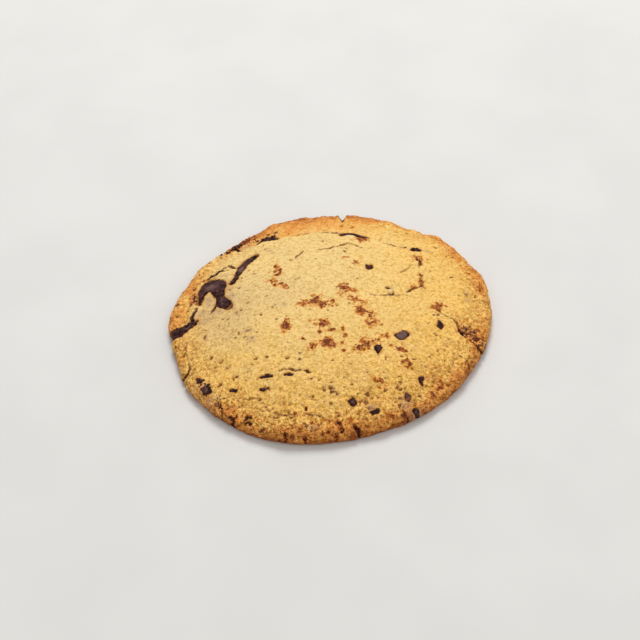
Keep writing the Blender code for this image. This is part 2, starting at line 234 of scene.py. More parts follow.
def eased_run(run, layers=2):
    """The run with one more point in each gap, on a smooth curve, as often as there are layers."""
    points = np.array(run, float)
    for _ in range(layers):
        padded = np.vstack([points[:1], points, points[-1:]])
        between = (padded[1:-2] + padded[2:-1]) * 9 / 16 - (padded[:-3] + padded[3:]) / 16
        woven = np.empty((2 * len(points) - 1, points.shape[1]))
        woven[::2], woven[1::2] = points, between
        points = woven
    return points


# %% [markdown]
# The crust cracks as it sets. The long cracks follow the fold and run in from the rim, where they
# open into notches, and finer ones cross the centre. Each is a run of points, and each point has a
# place, a width and a depth, so that a crack can open, close and deepen along its way.

# %% Where the crust has cracked
CRACKS = {
    "back_fold": ((-9.0, 37.9, 0.4, 0.15), (-2.0, 37.0, 0.5, 0.25), (4.2, 36.0, 0.8, 0.5)),
    "back_right_fold": (
        (16.0, 34.0, 0.6, 0.4), (19.2, 31.9, 0.5, 0.5), (20.6, 30.6, 0.8, 0.9), (21.6, 29.9, 1.1, 1.1),
        (22.4, 29.2, 1.5, 1.4), (25.2, 28.1, 1.3, 1.3), (27.4, 27.2, 0.6, 0.5),
    ),
    "right_ring": (
        (29.8, 22.6, 0.2, 0.2), (31.2, 20.4, 1.1, 0.8), (32.0, 18.6, 1.0, 0.8), (31.4, 16.4, 0.3, 0.3),
        (30.9, 13.8, 0.1, 0.1), (31.4, 11.7, 0.7, 0.5), (31.7, 9.2, 0.4, 0.3), (31.6, 6.9, 0.7, 0.5),
        (29.6, 5.6, 0.3, 0.3), (27.3, 4.2, 0.8, 0.6), (26.2, 3.0, 0.1, 0.1),
    ),
    "grey_mark_high": ((19.2, 5.9, 0.5, 0.9), (20.4, 5.3, 0.7, 0.9)),
    "grey_mark_low": ((19.8, 2.7, 0.6, 0.9), (21.1, 2.0, 0.7, 0.9), (21.6, 3.0, 0.4, 0.9)),
    "right_line": (
        (13.8, 2.6, 0.3, 0.2), (18.5, 1.4, 0.5, 0.3), (22.5, 1.8, 0.4, 0.2), (26.5, 1.9, 0.3, 0.2),
    ),
    "right_arc": ((28.5, 16.7, 0.2, 0.1), (26.4, 14.1, 0.4, 0.2), (24.2, 12.8, 0.2, 0.1)),
    "left_fold": (
        (-34.0, 24.6, 0.7, 0.6), (-32.6, 22.8, 0.9, 0.7), (-31.4, 22.3, 0.6, 0.6),
        (-33.8, 22.0, 0.1, 0.2), (-36.0, 21.9, 0.8, 0.7), (-37.3, 21.8, 0.9, 0.8),
        (-38.3, 20.6, 0.8, 0.7), (-39.7, 19.9, 1.0, 0.8), (-40.8, 18.5, 0.8, 0.6),
    ),
    "left_spur": ((-45.4, 13.2, 0.7, 0.5), (-45.2, 9.6, 1.2, 1.0), (-44.9, 7.6, 0.8, 0.7)),
    "left_spur_low": ((-47.4, 9.9, 0.6, 0.4), (-46.6, 8.2, 0.8, 0.6), (-45.4, 8.4, 0.6, 0.5)),
    "left_ring": (
        (-44.6, 5.2, 1.0, 0.8), (-45.8, 2.4, 1.2, 1.1), (-46.2, 0.2, 1.0, 0.9), (-46.0, -1.2, 0.8, 0.8),
    ),
    "left_groove": (
        (-47.6, -8.6, 0.3, 0.15), (-48.4, -11.6, 0.5, 0.3), (-47.6, -15.6, 0.4, 0.2),
        (-46.6, -18.9, 0.6, 0.4), (-47.2, -21.2, 1.1, 1.2), (-49.4, -22.6, 1.6, 1.8),
        (-51.6, -23.6, 2.4, 1.8),
    ),
    "right_crack": (
        (35.9, -4.5, 0.6, 0.4), (37.5, -6.2, 0.5, 0.4), (40.0, -7.1, 0.5, 0.4), (41.4, -8.8, 0.4, 0.4),
        (42.1, -10.2, 0.5, 0.5), (43.0, -12.4, 1.5, 1.4), (44.6, -14.1, 1.2, 1.5),
        (46.9, -15.6, 0.8, 1.3), (48.4, -17.8, 1.1, 1.7), (49.6, -18.7, 2.0, 2.2),
        (52.8, -18.6, 4.0, 2.8),
    ),
    "back_notch": ((6.2, 44.8, 0.5, 0.3), (6.3, 46.4, 1.1, 1.0), (6.5, 51.0, 3.2, 2.2)),
    "front_notch": (
        (5.4, -47.6, 0.5, 0.6), (6.2, -48.8, 1.1, 1.1), (7.2, -50.4, 0.7, 1.1), (6.6, -51.5, 0.9, 1.5),
        (6.3, -52.6, 1.5, 1.9),
    ),
    "front_right_notch": (
        (20.4, -41.8, 0.6, 0.3), (21.2, -43.0, 0.2, 0.1), (21.8, -44.1, 1.0, 0.6),
        (22.6, -45.0, 0.7, 0.6), (23.6, -46.1, 1.0, 1.1), (24.6, -47.4, 1.5, 1.5),
    ),
    "front_left_notch": (
        (-33.9, -40.8, 0.7, 0.9), (-33.0, -42.2, 0.9, 1.0), (-32.9, -43.6, 0.7, 1.0),
        (-32.4, -45.2, 1.1, 1.4),
    ),
    "front_left_fork": ((-31.6, -41.3, 0.7, 0.9), (-32.3, -42.0, 0.8, 0.9), (-33.0, -42.2, 0.6, 0.9)),
    "front_left_split": ((-29.0, -43.2, 0.8, 0.9), (-27.4, -42.3, 0.8, 0.9), (-26.7, -42.8, 0.7, 0.9)),
    "front_left_split_low": (
        (-30.9, -44.9, 0.5, 0.9), (-29.4, -44.6, 0.7, 0.9), (-27.9, -44.2, 0.8, 1.0),
        (-27.0, -44.7, 0.9, 0.9),
    ),
    "front_wrinkle_left": (
        (-29.0, -36.1, 0.4, 0.2), (-26.4, -36.7, 0.5, 0.25), (-23.7, -36.9, 0.4, 0.2),
    ),
    "front_wrinkle": (
        (-19.7, -42.4, 0.4, 0.2), (-17.2, -43.4, 0.6, 0.3), (-14.7, -43.7, 0.4, 0.2),
        (-12.2, -43.2, 0.2, 0.1), (-8.7, -44.1, 0.6, 0.3), (-5.5, -44.8, 0.4, 0.2),
        (-3.1, -46.1, 0.8, 0.3), (-1.5, -46.6, 0.5, 0.3),
    ),
    "front_wrinkle_low": (
        (-13.1, -43.4, 0.4, 0.2), (-13.2, -45.5, 0.4, 0.2), (-12.3, -47.0, 0.5, 0.25),
    ),
    "front_red_high": ((0.4, -46.4, 0.6, 0.9), (1.4, -47.8, 0.7, 0.9)),
    "front_red_low": ((1.5, -50.1, 0.7, 0.9), (2.5, -49.4, 0.6, 0.9)),
    "front_red_left": ((-17.1, -50.2, 0.7, 0.9), (-16.2, -49.6, 0.9, 1.0), (-15.4, -50.0, 0.5, 0.9)),
    "arch_tail": ((-37.4, 5.6, 1.3, 1.0), (-38.4, 3.6, 1.1, 0.9), (-39.9, 0.8, 0.4, 0.2)),
    "front_hair": (
        (-17.4, -28.0, 0.4, 0.3), (-15.7, -27.7, 0.6, 0.4), (-13.8, -27.9, 0.5, 0.4),
        (-12.4, -28.3, 1.0, 0.8), (-10.4, -28.4, 0.6, 0.5), (-8.5, -28.7, 1.0, 0.8),
        (-7.2, -28.9, 0.4, 0.3),
    ),
    "back_hair": (
        (-3.1, 26.5, 0.4, 0.3), (0.0, 26.9, 0.9, 0.5), (1.7, 27.5, 0.9, 0.6), (3.4, 28.2, 0.4, 0.3),
        (5.0, 28.8, 0.8, 0.5), (7.6, 30.1, 0.4, 0.3), (9.5, 29.4, 0.4, 0.3), (11.1, 27.4, 0.5, 0.3),
        (12.0, 26.8, 0.8, 0.5),
    ),
    "back_left_hair": ((-10.6, 22.9, 0.4, 0.3), (-9.2, 24.4, 0.6, 0.4), (-7.8, 25.9, 0.5, 0.3)),
    "centre_dash": ((-10.8, 11.4, 0.4, 0.3), (-9.2, 12.1, 0.6, 0.4)),
    "back_left_edge": ((-31.3, 35.9, 1.0, 0.8), (-30.4, 34.4, 1.2, 1.0), (-29.7, 33.1, 0.7, 0.6)),
    "leaf_high": (
        (-24.6, 35.6, 0.7, 0.6), (-22.2, 37.6, 0.8, 0.7), (-20.2, 38.9, 0.7, 0.6),
        (-18.0, 38.6, 0.6, 0.5), (-16.2, 36.4, 0.6, 0.4),
    ),
    "leaf_low": ((-20.0, 35.4, 0.5, 0.3), (-18.0, 36.2, 0.6, 0.4), (-16.0, 36.4, 0.4, 0.3)),
}
crack_runs = [eased_run(run, 1) for run in CRACKS.values()]
print(len(crack_runs), "cracks, the longest of", max(len(run) for run in crack_runs), "points")

# %% [markdown]
# The chocolate that shows is of two kinds. Five long pieces melted in the heat and lie in pockets
# of the crust, and are nodes of the solid model. Small chips show only their tops. Their places are
# listed here, and further on the pockets and beds are pressed into the crust round them, a little
# wider than the chocolate, so that each piece has a dark edge, which the crust's material deepens
# with painted shade.

# %% Where the chocolate lies
CHOCOLATE = {
    "chocolate_arch": (
        (-43.6, 7.0, 0.8), (-43.1, 10.2, 1.7), (-42.2, 13.0, 3.6), (-40.4, 14.5, 6.2),
        (-38.0, 13.7, 6.6), (-36.9, 10.4, 3.9), (-36.6, 7.6, 2.5), (-35.2, 4.8, 4.2),
        (-33.9, 3.2, 3.2),
    ),
    "chocolate_sliver": (
        (-24.0, 28.1, 0.8), (-25.3, 27.0, 1.7), (-27.2, 25.1, 2.1), (-28.7, 22.4, 2.3),
        (-30.1, 19.6, 2.3), (-31.0, 16.9, 1.4), (-32.6, 13.7, 1.5),
    ),
    "chocolate_left_rim": (
        (-44.3, -1.0, 0.9), (-46.0, -1.7, 1.6), (-48.2, -2.3, 2.8), (-50.8, -3.4, 4.2),
        (-53.0, -3.9, 4.4),
    ),
    "chocolate_back_left": (
        (-16.6, 36.0, 1.0), (-18.6, 37.2, 2.4), (-20.6, 37.9, 3.0), (-22.4, 37.1, 1.7),
        (-24.0, 35.5, 1.0),
    ),
    "chocolate_back": (
        (5.6, 35.2, 1.0), (8.0, 36.2, 1.2), (10.6, 35.7, 1.8), (13.0, 34.5, 2.2), (15.2, 33.7, 1.1),
    ),
}
# Each chip: its place, its radius for every 45 degrees, and how much bloom it has, which on a chip is
# partly a painted highlight.
CHIPS = (
    (14.4, 15.9, (1.1, 1.4, 1.2, 1.5, 1.1, 1.4, 1.3, 1.2), 0.1),
    (23.1, -15.5, (2.3, 2.6, 1.8, 1.5, 2.2, 2.1, 1.8, 1.7), 1.2),
    (15.0, -21.1, (1.3, 1.2, 1.4, 1.3, 1.1, 1.4, 2.1, 1.1), 0.2),
    (36.2, -10.8, (1.0, 1.1, 1.8, 1.1, 1.0, 1.1, 1.7, 1.0), 0.2),
    (5.6, -40.3, (1.4, 1.2, 1.5, 1.2, 1.4, 1.2, 1.5, 1.3), 0.5),
    (28.1, -32.4, (0.8, 1.4, 1.0, 1.1, 0.8, 0.8, 2.0, 0.6), 0.1),
    (23.1, -39.1, (1.0, 1.6, 1.6, 1.0, 1.0, 1.3, 1.5, 1.0), 0.7),
    (12.5, -43.9, (1.3, 1.7, 0.7, 0.6, 1.5, 1.2, 0.4, 0.5), 0.1),
    (30.9, 26.1, (2.0, 1.3, 0.8, 1.2, 1.9, 1.0, 0.8, 1.2), 0.3),
    (-21.6, -29.5, (2.1, 1.1, 0.7, 0.7, 1.9, 1.0, 0.7, 0.8), 0.0),
    (-22.3, -34.0, (1.6, 0.7, 0.6, 0.7, 1.5, 0.6, 0.6, 0.7), 0.0),
    (-14.3, -29.8, (1.7, 0.7, 0.5, 0.6, 1.4, 0.6, 0.5, 0.6), 0.0),
    (-43.4, -25.7, (0.7, 0.8, 1.1, 1.3, 0.7, 0.8, 1.0, 1.3), 0.2),
    (-41.2, -30.2, (1.2, 1.4, 1.7, 2.2, 1.2, 1.2, 1.8, 2.3), 0.45),
    (25.6, -43.0, (1.1, 1.0, 0.8, 0.9, 1.0, 0.9, 0.7, 0.9), 0.5),
    (-32.3, -32.1, (1.4, 0.7, 0.6, 0.9, 1.3, 0.6, 0.5, 0.9), 0.1),
)
POCKET_DEPTH, POCKET_MARGIN = 0.7, 0.3
BED_DEPTH, BED_MARGIN = 0.45, 0.1
CRUMB_PLACE = (46.7, -12.9, 5.0, 2.2, -38)
print(len(CHOCOLATE), "long pieces and", len(CHIPS), "chips")

# %% [markdown]
# Sugar has run and caramelised in spots: red-brown stains with darker grains. Grey-brown smudges
# show where chocolate lies just under the crust, and flour has stayed white in two places. Small
# pits are where fat bubbled out. Each is an ellipse: a place, a half length, a half width, a turn in
# degrees and a strength. Spots that touch run together into one uneven blot.

# %% Spots of the crust
CARAMEL = (
    (-16.8, 17.2, 1.3, 2.6, 0, 0.40), (-18.3, 11.6, 1.3, 1.6, 0, 0.38),
    (-14.6, 9.2, 1.6, 1.1, -40, 0.38), (-17.6, 19.6, 0.6, 0.8, 0, 1.1), (-16.6, 19.0, 0.7, 0.6, 0, 1.2),
    (-16.0, 17.3, 0.7, 0.9, 0, 1.4), (-15.9, 15.7, 0.6, 0.9, 0, 1.5), (-16.9, 14.8, 0.9, 0.6, 0, 1.5),
    (-17.6, 16.8, 0.5, 1.0, 0, 1.1), (-19.3, 12.5, 0.6, 0.7, 0, 0.9), (-19.0, 10.9, 0.7, 0.6, 0, 1.0),
    (-18.0, 10.1, 0.8, 0.6, 0, 1.0), (-17.4, 11.4, 0.6, 0.8, 0, 0.9),
    (-15.4, 10.4, 0.9, 0.7, -40, 0.75), (-14.3, 9.2, 1.0, 0.7, -40, 0.75),
    (-13.7, 7.8, 0.7, 0.7, 0, 0.7), (-4.8, 0.8, 2.5, 2.3, 10, 1.0), (-2.2, -1.6, 1.8, 1.8, 0, 0.9),
    (1.2, -0.4, 1.3, 1.4, 0, 0.7), (0.4, -2.4, 1.0, 0.8, 0, 0.6), (-8.6, -0.2, 1.5, 1.2, 0, 0.5),
    (5.3, 5.2, 1.8, 2.4, -10, 0.75), (8.1, 5.0, 1.9, 1.1, -50, 0.5), (8.1, 0.2, 2.1, 1.6, -30, 0.8),
    (10.4, -5.2, 1.8, 2.2, 10, 0.95), (11.8, -2.2, 1.1, 1.3, 0, 0.6), (13.2, -7.2, 1.3, 1.5, 0, 0.75),
    (13.8, -10.8, 2.1, 1.7, 15, 0.85), (-14.5, -9.5, 1.4, 2.3, -10, 1.3),
    (-2.7, -10.3, 1.7, 1.8, 0, 1.0), (-3.4, -13.4, 0.7, 0.7, 0, 0.9), (0.5, -12.5, 1.6, 0.9, -30, 0.7),
    (-6.1, -8.6, 1.1, 0.9, 0, 0.45), (-1.4, -17.6, 1.7, 2.0, -30, 1.3), (0.6, -19.2, 1.2, 0.9, 0, 0.9),
    (-6.4, -18.8, 1.6, 1.4, 0, 0.85), (4.2, -12.8, 0.6, 0.9, 0, 0.8), (4.5, -15.6, 0.6, 0.8, 0, 0.8),
    (3.6, -18.4, 0.8, 0.8, 0, 0.8), (3.9, -21.4, 0.6, 0.8, 0, 0.8), (8.5, -20.8, 1.7, 1.6, 0, 1.1),
    (11.0, -19.6, 2.6, 1.8, 35, 0.8), (14.2, -18.0, 1.8, 0.9, 0, 0.65),
    (17.8, -16.0, 1.5, 0.9, 0, 0.65), (22.4, -21.4, 2.5, 0.8, -25, 1.1),
    (22.6, -26.8, 0.7, 0.8, 0, 0.9), (23.6, -28.4, 0.9, 0.6, 0, 1.0), (25.0, -27.2, 0.7, 0.9, 0, 0.9),
    (24.0, -25.8, 0.8, 0.6, 0, 0.8), (1.6, -48.6, 0.6, 0.6, 0, 1.2), (-0.2, -51.0, 0.7, 0.6, 0, 1.3),
    (-2.7, -50.0, 0.7, 0.6, 0, 1.3), (-9.3, -41.9, 0.6, 0.5, 0, 1.3), (-12.8, -43.3, 0.6, 0.5, 0, 1.1),
    (-11.5, -48.8, 0.6, 0.5, 0, 1.1), (-10.0, -51.2, 0.9, 0.6, 0, 1.2),
    (-15.5, -48.4, 0.9, 0.6, 0, 0.9), (-7.6, -46.9, 0.6, 0.5, 0, 1.1), (-3.4, -46.5, 1.4, 0.7, 0, 0.7),
    (4.6, -46.2, 0.9, 0.7, 0, 0.8), (9.1, -51.0, 0.8, 0.6, 0, 1.1), (10.2, -50.2, 0.6, 0.6, 0, 1.0),
    (9.3, 18.4, 1.5, 1.1, 60, 0.5), (6.2, 21.1, 0.9, 0.7, 0, 0.4), (14.2, -33.8, 2.0, 1.6, -20, 0.6),
    (0.8, -47.2, 1.8, 1.3, 0, 0.9), (2.0, -49.6, 1.1, 0.7, 30, 0.9), (17.8, -45.0, 1.7, 0.9, -20, 0.75),
    (31.7, -37.4, 1.1, 1.5, 0, 0.75), (33.6, -34.6, 2.0, 2.4, 0, 0.5), (44.0, -24.9, 1.1, 0.9, 0, 0.8),
    (36.2, -2.9, 1.9, 1.7, 0, 0.9), (46.9, -12.4, 5.2, 3.0, -38, 0.8), (12.6, 32.4, 2.1, 1.5, -10, 0.9),
    (-42.8, 18.6, 1.5, 0.8, 40, 0.65), (-46.0, 16.6, 1.1, 0.8, 0, 0.75),
    (31.4, 11.7, 1.0, 0.9, 0, 0.85), (31.6, 9.1, 1.0, 1.0, 0, 0.8), (31.5, 6.7, 1.1, 1.0, 0, 0.8),
    (28.8, 5.6, 1.3, 0.8, 40, 0.7), (31.4, 19.8, 1.7, 1.9, 0, 0.55), (-45.4, 10.6, 1.3, 3.0, 0, 0.8),
    (-28.4, 38.9, 6.6, 1.7, 32, 1.05), (51.2, 9.0, 1.2, 2.0, 0, 0.6), (48.4, 15.4, 1.3, 0.8, 40, 0.6),
    (-9.2, -15.9, 0.7, 0.6, 0, 0.9), (-16.1, -50.0, 1.1, 0.9, 0, 0.9),
    (-29.4, -43.8, 3.0, 1.6, 15, 0.35),
)
SMUDGES = (
    (-40.4, 7.6, 2.8, 3.8, 0, 1.1), (-34.6, 13.6, 2.6, 4.6, 10, 1.0), (-32.6, 7.4, 2.4, 3.2, 20, 0.9),
    (-36.0, 19.0, 3.4, 1.6, 20, 0.8), (-37.0, 1.6, 3.6, 2.2, 10, 0.9), (-42.8, 2.0, 3.0, 2.6, 20, 1.0),
    (-40.6, -1.4, 4.0, 2.2, 20, 0.8), (-31.0, -1.4, 2.6, 1.4, 20, 0.6),
    (-28.9, 21.2, 1.2, 0.8, 60, 1.0), (20.8, 4.4, 1.3, 2.2, 0, 0.85), (-14.9, 0.0, 1.4, 1.1, 0, 0.8),
    (-27.4, -10.4, 2.6, 1.0, 0, 0.9), (-26.5, -13.9, 2.2, 1.6, 0, 1.1),
    (34.8, 25.2, 3.2, 1.3, -15, 0.85), (-7.6, -48.6, 2.2, 1.7, 0, 0.8),
    (-27.6, 35.2, 3.6, 1.6, 35, 0.95), (-20.0, 29.4, 2.6, 1.7, 10, 0.45),
    (46.4, 3.4, 1.8, 3.8, 10, 0.6), (25.8, -43.6, 3.2, 2.3, 30, 1.0), (22.6, -40.4, 2.6, 3.4, 0, 0.9),
    (11.6, -42.4, 2.2, 1.6, 0, 1.0), (-38.8, -34.4, 2.2, 3.0, 30, 0.7),
    (-42.6, -28.0, 2.4, 4.4, 20, 0.7), (-50.4, -5.6, 3.0, 1.2, 10, 0.9),
)
FLOURY = ((8.9, 34.6, 2.2, 0.8, 0, 1.2), (20.7, 4.0, 1.0, 1.0, 0, 0.8))
PITS = (
    (-31.6, 35.6, 1.0, 0.6, 40, 1.0), (-36.4, 32.0, 1.0, 0.5, 30, 1.0),
    (-34.9, 32.9, 0.7, 0.5, 40, 0.9), (-29.0, 15.8, 0.7, 0.6, 0, 1.0), (-30.2, 10.5, 0.8, 0.5, 10, 0.9),
    (-27.0, 3.2, 0.7, 0.6, 0, 0.9), (-12.1, 22.4, 0.6, 0.6, 0, 0.9), (-0.8, 31.3, 0.7, 0.6, 0, 0.9),
    (6.8, 26.8, 0.8, 0.5, -20, 0.8), (-10.3, 0.5, 0.6, 0.7, 0, 1.1), (2.6, -2.4, 0.5, 0.5, 0, 0.8),
    (19.9, 5.6, 0.6, 1.0, 0, 1.1), (20.8, 2.0, 0.8, 0.5, 10, 1.1), (35.7, -6.6, 0.7, 0.7, 0, 1.1),
    (36.6, -5.0, 0.5, 0.5, 0, 0.8), (31.6, 19.8, 0.9, 0.7, 0, 1.2), (31.9, 17.4, 0.8, 0.8, 0, 1.1),
    (30.4, 21.6, 0.8, 0.5, -30, 0.9), (35.1, 14.4, 1.0, 0.5, -50, 0.9), (31.4, 11.9, 0.7, 0.6, 0, 1.1),
    (27.4, 4.2, 0.6, 0.5, 0, 0.9), (22.6, -24.2, 0.6, 0.6, 0, 1.2), (25.2, -27.0, 0.7, 0.6, 0, 1.0),
    (24.0, -28.8, 0.7, 0.5, 0, 0.8), (-30.9, -27.4, 0.7, 0.6, 0, 1.0), (-36.4, -20.7, 0.7, 0.5, 0, 0.9),
    (-39.4, -18.0, 0.8, 0.8, 0, 0.8), (-25.8, -23.8, 0.7, 0.4, -40, 0.9),
    (-14.6, -22.9, 1.0, 0.7, 0, 1.0), (-27.2, -10.2, 1.0, 0.5, 0, 0.9),
    (-30.4, -10.8, 0.7, 0.5, 0, 0.9), (-37.6, -36.0, 0.9, 0.9, 0, 1.1),
    (-36.2, -39.2, 0.6, 1.0, 20, 1.0), (-9.3, -42.0, 0.8, 0.6, 0, 1.1), (-3.3, -36.1, 0.8, 0.6, 0, 1.1),
    (-1.0, -35.2, 1.0, 0.8, 0, 0.8), (-0.9, -33.3, 0.7, 0.6, 0, 0.8), (10.7, -37.8, 1.0, 1.2, 0, 0.7),
    (9.7, -40.5, 1.1, 1.2, 0, 0.9), (10.7, -42.9, 0.7, 0.6, 0, 1.2), (20.7, -41.9, 0.5, 0.5, 0, 1.0),
    (21.6, -42.2, 0.5, 0.5, 0, 0.9), (-2.7, -50.0, 0.6, 0.6, 0, 1.1), (-0.1, -51.0, 0.7, 0.6, 0, 1.0),
    (2.2, -49.8, 0.8, 0.5, 30, 1.1), (-16.1, -50.1, 0.9, 0.7, 0, 1.1), (-10.1, -51.0, 0.9, 0.5, 0, 0.8),
    (43.7, -24.3, 0.7, 0.5, 60, 0.9), (44.3, -25.7, 0.7, 0.5, 30, 0.9),
    (37.7, -28.8, 0.7, 0.4, -40, 0.8), (-40.4, 23.0, 0.8, 0.4, 30, 0.7), (51.6, 10.6, 0.7, 0.6, 0, 0.9),
    (51.2, 7.6, 0.7, 0.6, 0, 0.8), (46.2, 4.4, 0.8, 0.5, 0, 0.8), (6.0, 42.4, 0.6, 1.0, 0, 0.9),
    (17.8, -45.2, 0.9, 0.5, -20, 0.9), (16.2, -32.9, 0.6, 0.5, 0, 1.0), (13.4, -33.6, 0.6, 0.6, 0, 1.1),
    (-21.0, 30.6, 0.8, 0.5, 0, 0.6), (-9.6, 37.6, 0.9, 0.5, 0, 0.8), (-32.9, 10.3, 0.5, 0.5, 0, 1.1),
    (-32.1, 7.6, 0.6, 0.4, 0, 1.1), (-32.3, 2.2, 0.6, 0.5, 0, 1.1), (-31.0, -1.2, 0.6, 0.4, 0, 1.1),
    (-34.0, -3.0, 0.7, 0.4, 30, 1.1), (-35.6, -2.6, 0.5, 0.5, 0, 1.1), (-30.5, -9.9, 0.6, 0.5, 0, 1.1),
    (-28.3, -12.5, 0.8, 0.5, 0, 1.1), (-24.0, -11.5, 0.6, 0.5, 0, 1.0), (-22.8, -3.5, 0.5, 0.5, 0, 1.0),
    (-19.0, -0.5, 0.5, 0.5, 0, 1.0), (-24.8, 17.2, 0.6, 0.5, 0, 1.0), (-33.6, 4.8, 0.5, 0.5, 0, 1.1),
    (-29.5, 0.3, 0.5, 0.5, 0, 1.0), (-25.8, -13.6, 0.7, 0.4, 0, 1.0),
)


def spot_field(x, y, spots, growth=1.0):
    """Largest over the spots of strength times (1 - distance in grown radii), and at least -1."""
    field = np.full(len(x), -1.0)
    for *place, strength in spots:
        long, wide = turned(x, y, *place)
        field = np.maximum(field, strength * (1 - np.hypot(long, wide) / growth))
    return field


print(len(CARAMEL), "caramel spots,", len(SMUDGES) + len(FLOURY), "smudges and", len(PITS), "pits")

# %% [markdown]
# The dough is one closed surface. Its crust is a square grid bent into a disc, because a plain fan
# of rings would crowd its points at the crown and spread them at the rim, where the detail is. The
# grid's edge then carries the rim down as a sheet of rows, and the base closes it in rings.
# A square grid becomes a disc when each square ring of it turns into a round one: the larger of
# the two grid coordinates gives the radius, and their ratio gives the angle.

# %% A disc, a rim and a base that share their edges
CRUST_CELLS = 270
RIM_ROWS = 14
BASE_RINGS = (0.8, 0.5, 0.2)


def disc_grid(cells):
    """Radius share and angle of grid points: the larger coordinate, and 45 degrees times the ratio."""
    line = np.linspace(-1, 1, cells + 1)
    first, second = np.meshgrid(line, line, indexing="ij")
    wide = np.abs(first) >= np.abs(second)
    radius = np.where(wide, first, second)
    safe = np.where(radius == 0, 1, radius)
    angle = np.where(wide, second / safe, 2 - first / safe) * math.pi / 4
    angle = np.where(radius < 0, angle + math.pi, angle)
    return np.abs(radius).ravel(), angle.ravel()


def edge_loop(cells):
    """Indices of the grid's edge points in order round it, counter-clockwise seen from above."""
    side = cells + 1
    grid = np.arange(side * side).reshape(side, side)
    return np.concatenate([grid[:-1, 0], grid[-1, :-1], grid[:0:-1, -1], grid[0, :0:-1]])


def rim_section(angle, lift):
    """Rows of the rim: a quarter ellipse out to the bulge, then one under it to the base."""
    bulge = rim_radius(angle)
    rows = []
    upper = RIM_ROWS * 2 // 3
    for step in range(1, upper + 1):
        turn = RIM_ROUND_START + (math.pi / 2 - RIM_ROUND_START) * step / upper
        out = bulge - RIM_ROUND_OUT * (1 - math.sin(turn))
        rows.append((out, BULGE_HEIGHT + (RIM_ROUND_UP + lift) * math.cos(turn)))
    for step in range(1, RIM_ROWS - upper + 1):
        turn = math.pi / 2 * step / (RIM_ROWS - upper)
        out = bulge - BASE_INSET * (1 - math.cos(turn))
        rows.append((out, BULGE_HEIGHT * (1 - math.sin(turn)) + 0 * angle))
    return rows


def quads(first, second):
    """Faces between two rows of indices of a closed loop, each row following the other outward."""
    return np.stack([first, second, np.roll(second, -1), np.roll(first, -1)], axis=1)


share, angle = disc_grid(CRUST_CELLS)
x, y = (share * shoulder_radius(angle) * wave(angle) for wave in (np.cos, np.sin))
layers = [np.stack([x, y, crust_height(x, y)], axis=1)]
edge = edge_loop(CRUST_CELLS)
edge_angle = angle[edge]
edge_lift = broad_relief(x[edge], y[edge])
base_radius, flat = rim_radius(edge_angle) - BASE_INSET, np.zeros(len(edge))
base_rows = [(ring * base_radius, flat) for ring in BASE_RINGS]
for out, up in rim_section(edge_angle, edge_lift) + base_rows:
    layers.append(np.stack([out * np.cos(edge_angle), out * np.sin(edge_angle), up], axis=1))
layers.append(np.zeros((1, 3)))
smooth_dough = np.vstack(layers)

cell = np.arange((CRUST_CELLS + 1) ** 2).reshape(CRUST_CELLS + 1, CRUST_CELLS + 1)
corners = [cell[:-1, :-1], cell[1:, :-1], cell[1:, 1:], cell[:-1, 1:]]
crust_faces = np.stack(corners, axis=-1).reshape(-1, 4)
rows = [edge]
for row in range(RIM_ROWS + len(BASE_RINGS)):
    rows.append(len(share) + row * len(edge) + np.arange(len(edge)))
dough_quads = np.vstack([crust_faces] + [quads(inner, outer) for inner, outer in zip(rows, rows[1:])])
hub = np.full(len(edge), len(smooth_dough) - 1)
base_fan = np.stack([rows[-1], hub, np.roll(rows[-1], -1)], axis=1)
print(len(smooth_dough), "points and", 2 * len(dough_quads) + len(base_fan), "triangles in the dough")

# %% [markdown]
# A mesh is written from arrays in one go. The points are moved by the middle of the plan and turned
# into metres here, and nowhere else, so the object itself stays at the origin and a pattern on
# Object coordinates lies still.

# %% From arrays to a mesh
def surface(name, points, *face_arrays):
    """A smooth mesh of points in millimetres, and one array of faces for each number of corners."""
    mesh = bpy.data.meshes.new(name)
    mesh.vertices.add(len(points))
    mesh.vertices.foreach_set("co", ((points - PLAN_MIDDLE) * MM).ravel())
    corners = np.concatenate([faces.ravel() for faces in face_arrays])
    sizes = np.concatenate([np.full(len(faces), faces.shape[1]) for faces in face_arrays])
    mesh.loops.add(len(corners))
    mesh.loops.foreach_set("vertex_index", corners)
    mesh.polygons.add(len(sizes))
    mesh.polygons.foreach_set("loop_start", np.concatenate([[0], np.cumsum(sizes)[:-1]]))
    mesh.update(calc_edges=True)
    mesh.validate()
    mesh.shade_smooth()
    piece = bpy.data.objects.new(name, mesh)
    bpy.context.scene.collection.objects.link(piece)
    print(name, len(points), "points,", int((sizes - 2).sum()), "triangles")
    return piece


def normals_of(piece):
    """Unit normals of the piece's points, as Blender works them out from the faces round each."""
    normals = np.empty(3 * len(piece.data.vertices))
    piece.data.vertex_normals.foreach_get("vector", normals)
    return normals.reshape(-1, 3)


def points_of(piece):
    """Places of the piece's points, in millimetres."""
    places = np.empty(3 * len(piece.data.vertices))
    piece.data.vertices.foreach_get("co", places)
    return places.reshape(-1, 3) / MM + PLAN_MIDDLE


def move_points(piece, points):
    """Gives the piece's points new places, in millimetres."""
    piece.data.vertices.foreach_set("co", ((points - PLAN_MIDDLE) * MM).ravel())
    piece.data.update()


def paint(piece, name, values):
    """Stores one value for each point, which the piece's material reads by name."""
    piece.data.attributes.new(name, "FLOAT", "POINT").data.foreach_set("value", values)


dough = surface("dough_crust", smooth_dough, dough_quads, base_fan)
normals = normals_of(dough)
print("normals point up at the crown:", round(float(normals[len(share) // 2, 2]), 3))

# %% [markdown]
# Now the crust is pushed along its own normals. On the crust that is up or down, and on the rim it
# is out or in, so a crack that runs over the rim opens there into a notch. The grain is faintest at
# the crown. Lumps, crevices, wrinkles and pores come towards the rim, and most of them at the front.
# The places of cracks and pits are shaken by noise too, which makes their edges ragged, as a break
# in a crust is.

